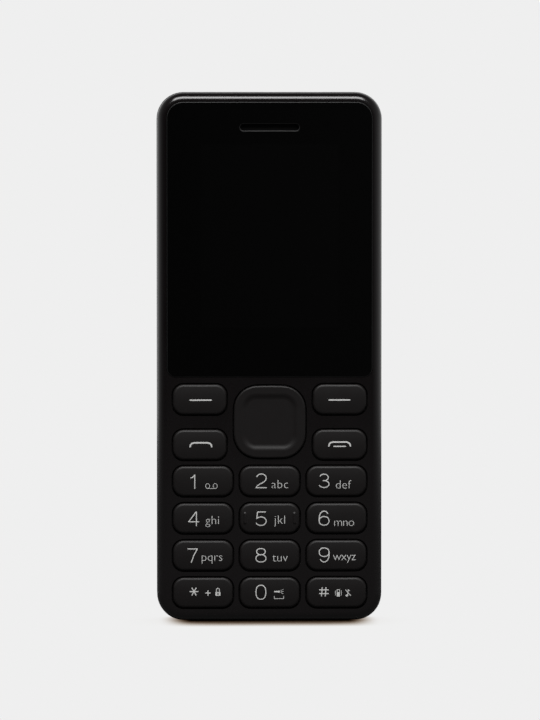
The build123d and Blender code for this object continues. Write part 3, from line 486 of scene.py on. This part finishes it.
# Star, with a plus and a closed padlock whose body is four strokes round its keyhole
star_x, star_z = -16.9, 6.7
star_wide = 0.98
star_high = 1.0
plus_x, plus_z = -13.78, 6.38
plus_reach = 0.58
lock_x = -11.56
lock_low, lock_high = 5.74, 6.56
lock_side = 0.35
side_line = 0.42
keyhole_line = 0.3
shackle_wide = 0.34
shackle_high = 0.38
shackle_foot, shackle_bend = 6.52, 7.06
shackle_line = 0.15
legend = Print("key_star")
for angle in (0, 60, 120):
    aside = math.cos(math.radians(angle)) * star_wide
    above = math.sin(math.radians(angle)) * star_high
    legend.stroke([(star_x - aside, star_z - above), (star_x + aside, star_z + above)], bold_line)
legend.stroke([(plus_x - plus_reach, plus_z), (plus_x + plus_reach, plus_z)], digit_line)
legend.stroke([(plus_x, plus_z - plus_reach), (plus_x, plus_z + plus_reach)], digit_line)
for middle in (lock_x - lock_side, lock_x + lock_side):
    legend.stroke([(middle, lock_low), (middle, lock_high)], side_line)
for sill, lintel in ((lock_low, 5.94), (6.36, lock_high)):
    legend.stroke([(lock_x, sill), (lock_x, lintel)], keyhole_line)
shackle = [(lock_x - shackle_wide, shackle_foot)]
shackle += arc(lock_x, shackle_bend, shackle_wide, shackle_high, 180, 0, 10)
shackle += [(lock_x + shackle_wide, shackle_foot)]
legend.stroke(shackle, shackle_line)
legend.dry()

# Hash, with a shaking phone and a note struck through, for the two silent modes
hash_x = 12.06
hash_apart = 0.42
hash_lean = 0.08
phone_x = 15.32
phone_half = 0.29
phone_low, phone_high = 5.58, 7.06
keys_line = 0.5
shake_apart = 0.67
note_line = 0.16
legend = Print("key_hash")
for shift in (-hash_apart, hash_apart):
    legend.stroke([(hash_x + shift - hash_lean, 5.56), (hash_x + shift + hash_lean, 7.6)], bold_line)
    legend.stroke([(11.04, 6.6 + shift), (13.14, 6.6 + shift)], bold_line)
left, right = phone_x - phone_half, phone_x + phone_half
outline = [(left, phone_low), (right, phone_low), (right, phone_high), (left, phone_high)]
legend.stroke(outline, sign_line, closed=True)
legend.stroke([(phone_x, 5.6), (phone_x, 6.46)], keys_line)
for middle in (phone_x - shake_apart, phone_x + shake_apart):
    legend.stroke([(middle, 5.78), (middle, 6.86)], fine_line)
legend.patch(ring(17.22, 5.74, 0.31, 0.25, steps=12))
legend.stroke([(17.44, 5.8), (17.5, 7.06), (17.9, 6.7)], note_line)
legend.stroke([(16.92, 7.0), (18.12, 5.68)], note_line)
legend.dry()

# Soft keys: one dash each. Call keys: a lifted receiver, and one on its rest
dash_level = 49.48
dash_line = 0.3
for key, left, right in (("soft_key_left", -17.72, -13.04), ("soft_key_right", 13.26, 17.84)):
    legend = Print(key)
    legend.stroke([(left, dash_level), (right, dash_level)], dash_line, rounded=True)
    legend.dry()
receiver = [(-2.4, -0.86), (-2.28, -0.42), (-1.96, -0.12), (-1.5, 0.0)]
receiver += [(-x, z) for x, z in receiver[::-1]]
receiver_line = 0.34
rest_line = 0.26
legend = Print("call_key")
legend.stroke([(x - 15.34, z + 39.96) for x, z in receiver], receiver_line, rounded=True)
legend.dry()
legend = Print("end_key")
legend.stroke([(x + 15.58, z + 40.08) for x, z in receiver], receiver_line, rounded=True)
legend.stroke([(14.3, 39.12), (16.9, 39.12)], rest_line, rounded=True)
legend.dry()


# Earpiece and its dust mesh
# A flat receiver sits behind the slot in the window, with an acoustic mesh stuck over its sound
# hole. The loudspeaker behind its slots has the same mesh.
thread = 0.25
thread_height = 0.015

# Woven polyester acoustic mesh, drawn at twice its real thread spacing so that it shows: a dull
# black cloth with a faint grid. A wave texture has a band every pi / 10 units at a scale of 1.
mesh_finish = new_finish("woven_acoustic_mesh")
tree = mesh_finish.node_tree
place = add_node(tree, "TexCoord").outputs["Object"]
wave_scale = math.pi / 10 / (thread * mm)
warp = add_node(tree, "TexWave", {"bands_direction": "X"}, {"Vector": place, "Scale": wave_scale})
weft = add_node(tree, "TexWave", {"bands_direction": "Z"}, {"Vector": place, "Scale": wave_scale})
weave = add_node(tree, "Math", {"operation": "MAXIMUM"}, {0: warp.outputs["Fac"], 1: weft.outputs["Fac"]})
tones = add_node(
    tree, "Mix", {"data_type": "RGBA"}, {0: weave.outputs[0], 6: linear("#060606"), 7: linear("#090909")}
)
relief = add_node(tree, "Bump", {}, {"Height": weave.outputs[0], "Distance": thread_height * mm})
shader = add_node(
    tree,
    "BsdfPrincipled",
    {},
    {
        "Base Color": tones.outputs[2],
        "Roughness": 0.85,
        "IOR": 1.5,
        "Specular IOR Level": 0.06,
        "Normal": relief.outputs["Normal"],
    },
)
add_node(tree, "OutputMaterial", {}, {"Surface": shader.outputs[0]})
dress(mesh_finish, "earpiece_mesh", "speaker_mesh")


# Display module
# A glass stack in a folded steel frame, with a polyimide tail soldered to the board. When it is
# off, the glass is a blue black.

# Bare display glass over a polariser: dark, smooth and slightly blue. The pixel grid is too fine to
# show, and a faint ripple of 0.3 mm stands for it.
glass_finish = moulded(
    "display_glass_polariser", "#08080b", "#0c0c11", roughness=0.08, grain=0.3, depth=0.0005, mottle=14.0
)
dress(glass_finish, "lcd_panel")

# Polyimide film with copper under it: an amber that is lighter over the tracks.
tail_finish = moulded(
    "polyimide_flex", "#8a4f14", "#a8661f",
    roughness=0.3, grain=0.4, depth=0.006, refraction=1.7, mottle=1.2,
)
dress(tail_finish, "lcd_flex")

# Polyester, as the window's double-sided tape and the film over the domes: a dull, milky grey.
film_finish = moulded(
    "polyester_film", "#8b8a86", "#9a9994",
    roughness=0.4, grain=0.5, depth=0.003, refraction=1.57, mottle=8.0,
)
dress(film_finish, "window_tape", "dome_sheet")


# Silicone parts
# The keypad mat with its nubs, the pad and plunger behind the navigation key, and the boots of the
# motor and the microphone are pressed from silicone rubber.

# Pressed silicone: a soft dark grey without a sharp light anywhere.
silicone_finish = moulded(
    "pressed_silicone", "#3d3e40", "#48494b",
    roughness=0.6, grain=0.3, depth=0.006, refraction=1.41, mottle=5.0,
)
dress(silicone_finish, "keypad_mat", "nav_pad", "nav_plunger", "vibration_boot", "microphone_boot")


# Main board
# Glass-epoxy laminate with a green solder mask over copper tracks. It fills the phone, and most of
# the electrical parts are soldered to it or press on it.
track_pitch = 0.5
track_run = 9.0
track_width = 0.12
track_height = 0.03

# Green solder mask: glossy and deep, lighter and raised where a copper track runs under it. Real
# tracks lie closer together, and are drawn this far apart so that they show. Their runs are shifted
# and stretched unevenly, so that they look routed.
board_finish = new_finish("fr4_green_solder_mask")
tree = board_finish.node_tree
place = add_node(tree, "TexCoord").outputs["Object"]
turned = add_node(tree, "Mapping", {}, {"Vector": place, "Rotation": (math.pi / 2, 0, 0)})
tracks = add_node(
    tree,
    "TexBrick",
    {"offset": 0.37, "offset_frequency": 3, "squash": 2.3, "squash_frequency": 4},
    {
        "Vector": turned.outputs[0],
        "Scale": 1 / (track_run * mm),
        "Brick Width": 1.0,
        "Row Height": track_pitch / track_run,
        "Mortar Size": track_width / track_run / 2,
        "Color1": linear("#14532c"),
        "Color2": linear("#175c31"),
        "Mortar": linear("#206d3b"),
    },
)
relief = add_node(tree, "Bump", {}, {"Height": tracks.outputs["Fac"], "Distance": track_height * mm})
shader = add_node(
    tree,
    "BsdfPrincipled",
    {},
    {
        "Base Color": tracks.outputs["Color"],
        "Roughness": 0.28,
        "IOR": 1.55,
        "Normal": relief.outputs["Normal"],
    },
)
add_node(tree, "OutputMaterial", {}, {"Surface": shader.outputs[0]})
dress(board_finish, "main_board")


# Sheet metal parts
# Card tunnels, shield cans, the display's frame, the snap domes and the charging socket's shell
# are stamped from thin strip; the motor's case is drawn, and its weight is sintered tungsten.
streak_gloss = 0.08
streak_height = 0.002


def rolled(name, low, high, roughness, streak, stretch):
    """A metal with fine streaks, as rolling or turning leaves them. A streak's width is given in
    millimetres, and along X it is stretched to so many times that."""
    finish = new_finish(name)
    tree = finish.node_tree
    place = add_node(tree, "TexCoord").outputs["Object"]
    drawn = add_node(tree, "Mapping", {}, {"Vector": place, "Scale": (1 / stretch, 1, 1)})
    streaks = add_node(
        tree, "TexNoise", {}, {"Vector": drawn.outputs[0], "Scale": 1 / (streak * mm), "Detail": 2.0}
    )
    tones = add_node(
        tree, "Mix", {"data_type": "RGBA"}, {0: streaks.outputs["Fac"], 6: linear(low), 7: linear(high)}
    )
    gloss = add_node(
        tree,
        "MapRange",
        {},
        {
            "Value": streaks.outputs["Fac"],
            "To Min": roughness - streak_gloss,
            "To Max": roughness + streak_gloss,
        },
    )
    relief = add_node(tree, "Bump", {}, {"Height": streaks.outputs["Fac"], "Distance": streak_height * mm})
    shader = add_node(
        tree,
        "BsdfPrincipled",
        {},
        {
            "Base Color": tones.outputs[2],
            "Roughness": gloss.outputs["Result"],
            "Metallic": 1.0,
            "Normal": relief.outputs["Normal"],
        },
    )
    add_node(tree, "OutputMaterial", {}, {"Surface": shader.outputs[0]})
    return finish


# Tinned steel strip: a cool grey with soft streaks from the mill.
tin_finish = rolled("tinned_steel_strip", "#a6a8ab", "#bfc1c3", roughness=0.34, streak=0.25, stretch=12)
dress(tin_finish, "sim_holders", "card_holder", "shield_cans", "lcd_frame", "metal_domes", "usb_socket")

# Nickel-plated steel: brighter and smoother than the strip.
nickel_finish = rolled("nickel_plated_steel", "#b8b5ae", "#cdcac3", roughness=0.22, streak=0.2, stretch=3)
dress(nickel_finish, "vibration_motor", "vibration_shaft", "microphone")

# Sintered tungsten: a dull warm grey, mottled alike every way.
tungsten_finish = rolled("sintered_tungsten", "#77736d", "#8b8780", roughness=0.5, streak=0.3, stretch=1)
dress(tungsten_finish, "vibration_weight")

# Black zinc on the screws: dark metal, with light only on the edges of the head.
screw_finish = rolled("black_zinc_steel", "#26272a", "#34353a", roughness=0.35, streak=0.15, stretch=1)
dress(screw_finish, "housing_screws")


# Contacts and aerial
# The battery's springs and pads are phosphor bronze under a flash of gold. The aerial is the same
# strip, heat staked to the chassis.

# Gold flash over nickel: a warm pale yellow, not quite even.
gold_finish = rolled("gold_flash_contact", "#c9a24a", "#e0bd6a", roughness=0.25, streak=0.3, stretch=4)
dress(gold_finish, "battery_contacts", "battery_pads", "antenna")


# Moulded electrical parts
# The battery connector, the headset socket, the charging socket's tongue and the cases of the
# earpiece, loudspeaker and camera are moulded in filled nylon or liquid crystal polymer.

# Glass-filled nylon: a dry, dark, slightly fibrous black.
nylon_finish = moulded(
    "glass_filled_nylon", "#151516", "#1c1c1d",
    roughness=0.48, grain=0.2, depth=0.01, refraction=1.53, mottle=2.0,
)
dress(nylon_finish, "battery_connector", "usb_tongue", "headset_jack")
dress(nylon_finish, "earpiece", "loudspeaker", "camera_module")


# Lamps, torch lens and camera window
# The torch is a white diode behind a clear lens in the top edge, and smaller ones light the keys.
# The camera looks out of the back through a plate of the same clear plastic.
flow_size = 1.5
flow_gloss = (0.02, 0.07)

# Epoxy over yellow phosphor: a creamy yellow that shows through the lens.
lamp_finish = moulded(
    "epoxy_phosphor_lamp", "#e8dca0", "#efe6b8",
    roughness=0.2, grain=0.3, depth=0.004, refraction=1.53, mottle=1.0,
)
dress(lamp_finish, "torch_led", "key_leds")

# Clear polycarbonate: colourless, with bright edges and faint flow marks.
clear_finish = new_finish("clear_polycarbonate")
tree = clear_finish.node_tree
place = add_node(tree, "TexCoord").outputs["Object"]
flow = add_node(tree, "TexNoise", {}, {"Vector": place, "Scale": 1 / (flow_size * mm), "Detail": 1.0})
gloss = add_node(
    tree,
    "MapRange",
    {},
    {"Value": flow.outputs["Fac"], "To Min": flow_gloss[0], "To Max": flow_gloss[1]},
)
shader = add_node(
    tree,
    "BsdfPrincipled",
    {},
    {
        "Base Color": linear("#f4f6f6"),
        "Roughness": gloss.outputs["Result"],
        "IOR": 1.58,
        "Transmission Weight": 1.0,
    },
)
add_node(tree, "OutputMaterial", {}, {"Surface": shader.outputs[0]})
dress(clear_finish, "torch_lens", "camera_window")


# Camera lens
# A small coated glass dome that stands in the eye of the camera's barrel, seen from behind through
# the camera window. It is pressed into the barrel.
eye_radius = 1.08
eye_depth = 0.6
eye_gap = 0.01
dome_rise = 0.3
dome_seat = 0.25
lens_rings = 8
lens_sides = 40
coating_patch = 0.6

# Coated optical glass over a black barrel: near black, with a violet sheen from its coating.
lens_finish = new_finish("coated_optical_glass")
tree = lens_finish.node_tree
place = add_node(tree, "TexCoord").outputs["Object"]
coating = add_node(
    tree, "TexNoise", {}, {"Vector": place, "Scale": 1 / (coating_patch * mm), "Detail": 1.0}
)
tones = add_node(
    tree,
    "Mix",
    {"data_type": "RGBA"},
    {0: coating.outputs["Fac"], 6: linear("#0a0714"), 7: linear("#130c22")},
)
shader = add_node(
    tree,
    "BsdfPrincipled",
    {},
    {
        "Base Color": tones.outputs[2],
        "Roughness": 0.03,
        "IOR": 1.6,
        "Coat Weight": 0.6,
        "Coat Tint": linear("#8f7bd0"),
    },
)
add_node(tree, "OutputMaterial", {}, {"Surface": shader.outputs[0]})

low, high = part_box("camera_module")
eye_middle = (low + high) / 2
lens = bmesh.new()
rows = []
for step in range(lens_rings + 1):
    share = step / lens_rings
    radius = eye_radius * math.cos(share * math.pi / 2)
    depth = high.y + (dome_seat - eye_depth + dome_rise * math.sin(share * math.pi / 2)) * mm
    if step == lens_rings:
        rows.append([lens.verts.new((eye_middle.x, depth, eye_middle.z))])
        continue
    rows.append(
        [
            lens.verts.new(
                (
                    eye_middle.x + radius * mm * math.cos(2 * math.pi * side / lens_sides),
                    depth,
                    eye_middle.z + radius * mm * math.sin(2 * math.pi * side / lens_sides),
                )
            )
            for side in range(lens_sides)
        ]
    )
base = [lens.verts.new((v.co.x, high.y + (eye_gap - eye_depth) * mm, v.co.z)) for v in rows[0]]
lens.faces.new(base)
for first, second in zip([base] + rows, rows):
    for side in range(lens_sides):
        after = (side + 1) % lens_sides
        if len(second) == 1:
            lens.faces.new((first[side], first[after], second[0]))
        else:
            lens.faces.new((first[side], first[after], second[after], second[side]))
bmesh.ops.recalc_face_normals(lens, faces=lens.faces)
lens_mesh = bpy.data.meshes.new("camera_lens")
lens.to_mesh(lens_mesh)
lens.free()
lens_mesh.materials.append(lens_finish)
lens_mesh.shade_smooth()
camera_lens = bpy.data.objects.new("camera_lens", lens_mesh)
bpy.context.scene.collection.objects.link(camera_lens)
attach(camera_lens, "phone")


# Battery
# A flat aluminium cell wrapped in a polyester label, with a moulded cap at its upper end that
# carries the three contact pads. The label is left bare.
cap_length = 4.0
battery_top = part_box("battery")[1].z / mm
crease_size = 14
crease_height = 0.1
label_gloss = 0.38
cap_gloss = 0.5

# Matt polyester label on aluminium, with a plain black nylon cap: a smooth slate grey, edge to edge.
battery_finish = new_finish("polyester_label_and_cap")
tree = battery_finish.node_tree
place = add_node(tree, "TexCoord").outputs["Object"]
apart = add_node(tree, "SeparateXYZ", {}, {0: place})
at_cap = add_node(
    tree,
    "Math",
    {"operation": "GREATER_THAN"},
    {0: apart.outputs["Z"], 1: (battery_top - cap_length) * mm},
)
creases = add_node(tree, "TexNoise", {}, {"Vector": place, "Scale": 1 / (crease_size * mm), "Detail": 2.0})
label = add_node(
    tree,
    "Mix",
    {"data_type": "RGBA"},
    {0: creases.outputs["Fac"], 6: linear("#3a3d42"), 7: linear("#43464c")},
)
tones = add_node(
    tree, "Mix", {"data_type": "RGBA"}, {0: at_cap.outputs[0], 6: label.outputs[2], 7: linear("#141415")}
)
gloss = add_node(
    tree, "MapRange", {}, {"Value": at_cap.outputs[0], "To Min": label_gloss, "To Max": cap_gloss}
)
relief = add_node(tree, "Bump", {}, {"Height": creases.outputs["Fac"], "Distance": crease_height * mm})
shader = add_node(
    tree,
    "BsdfPrincipled",
    {},
    {
        "Base Color": tones.outputs[2],
        "Roughness": gloss.outputs["Result"],
        "IOR": 1.57,
        "Normal": relief.outputs["Normal"],
    },
)
add_node(tree, "OutputMaterial", {}, {"Surface": shader.outputs[0]})
dress(battery_finish, "battery")


# Rear housing
# The chassis under the cover: it carries the board, forms the battery's bay and is moulded in a
# blend of polycarbonate and ABS, with a plain matt surface because the cover hides it.

# Polycarbonate and ABS blend from a plain tool: flatter and greyer than the parts that show.
chassis_finish = moulded(
    "pc_abs_chassis", "#19191a", "#1e1e1f",
    roughness=0.42, grain=0.25, depth=0.01, refraction=1.55, mottle=7.0,
)
dress(chassis_finish, "rear_housing")


# Rear cover
# The shell that wraps the flanks and back and snaps off for the battery. It is moulded in the same
# black ABS as the front, with a coarser grain for grip.

# Black ABS, coarser spark-eroded grain: an even dark grey sheen with a fine sparkle of pits.
cover_finish = moulded(
    "black_abs_grip_grain", "#131313", "#171616", roughness=0.36, grain=0.28, depth=0.012, mottle=12.0
)
dress(cover_finish, "rear_cover")


# Table
# A round plain pale top that the phone stands on. It shows the pale background's own tone, with a shadow
# painted into that tone close round the phone.
table_radius = 600
table_sides = 96
table_drop = 0.02
pale = "#efefef"
pale_level = linear(pale)[0]
# The shadow painted round the phone, with lengths in millimetres.
shade_samples = 32
shade_reach = 13
shade_deepest = 0.2
shade_faintest = 0.98
shade_start = 17.5
shade_end = 25
painted_shadow_side_fade = 0.95
shade_falls = (1.2, 1.4, 1.6)

table_mesh = bpy.data.meshes.new("table")
top = bmesh.new()
bmesh.ops.create_circle(top, cap_ends=True, segments=table_sides, radius=table_radius * mm)
top.to_mesh(table_mesh)
top.free()
table = bpy.data.objects.new("table", table_mesh)
table.location = (0, 0, -table_drop * mm)
bpy.context.scene.collection.objects.link(table)

# Pale matt laminate: even, with no gloss of its own. To the camera it glows in the pale tone, with the
# phone's shadow painted into that glow. An occlusion test aimed backwards and up darkens it in front of the
# phone. A mask by position across the table fades the painted shadow out to the sides, under the phone's
# rounded corners. Each colour falls at its own rate, so the painted shadow turns warm as it deepens. Other
# rays see a plain grey matt top.
table_painted_shadow_finish = new_finish("pale_laminate_painted_shadow")
tree = table_painted_shadow_finish.node_tree
seen = add_node(tree, "LightPath")
spot = add_node(tree, "SeparateXYZ", {}, {0: add_node(tree, "NewGeometry").outputs["Position"]})
backwards = add_node(tree, "CombineXYZ", {}, {"X": 0.0, "Y": 0.8, "Z": 0.6})
# Painted shadow: this occlusion test only darkens the pale tone that the camera sees.
near = add_node(
    tree,
    "AmbientOcclusion",
    {"samples": shade_samples},
    {"Distance": shade_reach * mm, "Normal": backwards.outputs[0]},
)
painted_shadow_from_occlusion = add_node(
    tree,
    "MapRange",
    {"interpolation_type": "SMOOTHSTEP"},
    {"Value": near.outputs["AO"], "From Min": shade_deepest, "From Max": shade_faintest},
)
sideways = add_node(tree, "Math", {"operation": "ABSOLUTE"}, {0: spot.outputs["X"]})
# Painted shadow: a mask by position lifts the painted shadow towards the sides.
beside = add_node(
    tree,
    "MapRange",
    {"interpolation_type": "SMOOTHSTEP"},
    {
        "Value": sideways.outputs[0],
        "From Min": shade_start * mm,
        "From Max": shade_end * mm,
        "To Max": painted_shadow_side_fade,
    },
)
# Painted shadow level: 1 is the plain pale tone, and lower is painted shade.
light = add_node(
    tree,
    "Mix",
    {"data_type": "FLOAT"},
    {0: beside.outputs["Result"], 2: painted_shadow_from_occlusion.outputs["Result"], 3: 1.0},
)
# Painted shadow colour: red falls least and blue most, so the painted shadow is warm.
painted_shadow_channels = [
    add_node(tree, "Math", {"operation": "POWER"}, {0: light.outputs[0], 1: fall}).outputs[0]
    for fall in shade_falls
]
painted_shadow_colour = add_node(tree, "CombineColor", {}, {"Red": painted_shadow_channels[0], "Green": painted_shadow_channels[1], "Blue": painted_shadow_channels[2]})
# The pale glow that the camera sees, with the painted shadow in it.
pale_glow_with_painted_shadow = add_node(tree, "Emission", {}, {"Color": painted_shadow_colour.outputs[0], "Strength": pale_level})
matt = add_node(tree, "BsdfDiffuse", {}, {"Color": linear("#5a5a5a")})
mixed = add_node(
    tree, "MixShader", {}, {0: seen.outputs["Is Camera Ray"], 1: matt.outputs[0], 2: pale_glow_with_painted_shadow.outputs[0]}
)
add_node(tree, "OutputMaterial", {}, {"Surface": mixed.outputs[0]})
table_mesh.materials.append(table_painted_shadow_finish)


# Studio
# A pale backdrop all round, dark only behind the camera, as a product studio is, so that the window
# stays black. One long softbox above the camera draws the line of light on the upper rim.
backdrop_gloss = 0.52
backdrop_fall = 1.5
right_gloss = 0.3
ambient = 0.32

world = bpy.data.worlds.new("studio")
bpy.context.scene.world = world
world.use_nodes = True
tree = world.node_tree
tree.nodes.clear()
seen = add_node(tree, "LightPath")
way = add_node(tree, "SeparateXYZ", {}, {0: add_node(tree, "TexCoord").outputs["Generated"]})
behind = add_node(tree, "Math", {"operation": "ADD"}, {0: way.outputs["Y"], 1: 1.0})
steeper = add_node(tree, "Math", {"operation": "POWER"}, {0: behind.outputs[0], 1: backdrop_fall})
sides = add_node(tree, "Math", {"operation": "MULTIPLY"}, {0: steeper.outputs[0], 1: backdrop_gloss})
rightward = add_node(tree, "Math", {"operation": "MAXIMUM"}, {0: way.outputs["X"], 1: 0.0})
panel = add_node(tree, "Math", {"operation": "MULTIPLY"}, {0: rightward.outputs[0], 1: right_gloss})
around = add_node(tree, "Math", {"operation": "ADD"}, {0: sides.outputs[0], 1: panel.outputs[0]})
upward = add_node(tree, "Math", {"operation": "MAXIMUM"}, {0: way.outputs["Z"], 1: 0.0})
open_share = add_node(tree, "Math", {"operation": "SUBTRACT"}, {0: 1.0, 1: upward.outputs[0]})
mirrored = add_node(
    tree, "Math", {"operation": "MULTIPLY"}, {0: around.outputs[0], 1: open_share.outputs[0]}
)
capped = add_node(tree, "Math", {"operation": "MINIMUM"}, {0: mirrored.outputs[0], 1: pale_level})
unlit = add_node(
    tree,
    "Mix",
    {"data_type": "FLOAT"},
    {0: seen.outputs["Is Glossy Ray"], 2: ambient, 3: capped.outputs[0]},
)
direct = add_node(
    tree,
    "Math",
    {"operation": "MAXIMUM"},
    {0: seen.outputs["Is Camera Ray"], 1: seen.outputs["Is Transmission Ray"]},
)
level = add_node(
    tree, "Mix", {"data_type": "FLOAT"}, {0: direct.outputs[0], 2: unlit.outputs[0], 3: pale_level}
)
sky_light = add_node(tree, "Background", {}, {"Color": (1, 1, 1, 1), "Strength": level.outputs[0]})
add_node(tree, "OutputWorld", {}, {"Surface": sky_light.outputs[0]})

# The softbox hangs in front of the phone, above the camera, and faces the phone's middle.
softbox_distance = 1100
softbox_height = math.radians(54)
softbox_aside = -0.03
softbox_width = 860
softbox_depth = 440
softbox_power = 13.1
phone_middle = Vector((0, 0, 60 * mm))
softbox_light = bpy.data.lights.new("softbox", "AREA")
softbox_light.shape = "RECTANGLE"
softbox_light.size = softbox_width * mm
softbox_light.size_y = softbox_depth * mm
softbox_light.energy = softbox_power
softbox = bpy.data.objects.new("softbox", softbox_light)
softbox.location = phone_middle + softbox_distance * mm * Vector(
    (softbox_aside, -math.cos(softbox_height), math.sin(softbox_height))
)
softbox.rotation_euler = (phone_middle - softbox.location).to_track_quat("-Z", "Y").to_euler()
bpy.context.scene.collection.objects.link(softbox)


# Camera
# A long lens a little to the left of the phone's middle and a little above it, as the photograph
# was taken.
camera_distance = 1200
camera_aim = Vector((0.07, -6.15, 58.39)) * mm
camera_left = math.radians(-1.5)
camera_above = math.radians(3.0)
view_height = 160.4
sensor = 36.0

lens_data = bpy.data.cameras.new("camera")
lens_data.sensor_fit = "VERTICAL"
lens_data.sensor_height = sensor
lens_data.lens = sensor * camera_distance / view_height
camera = bpy.data.objects.new("camera", lens_data)
camera.location = camera_aim + camera_distance * mm * Vector(
    (
        math.sin(camera_left) * math.cos(camera_above),
        -math.cos(camera_left) * math.cos(camera_above),
        math.sin(camera_above),
    )
)
camera.rotation_euler = (camera_aim - camera.location).to_track_quat("-Z", "Y").to_euler()
bpy.context.scene.collection.objects.link(camera)
bpy.context.scene.camera = camera
bpy.context.scene.view_settings.view_transform = "Standard"
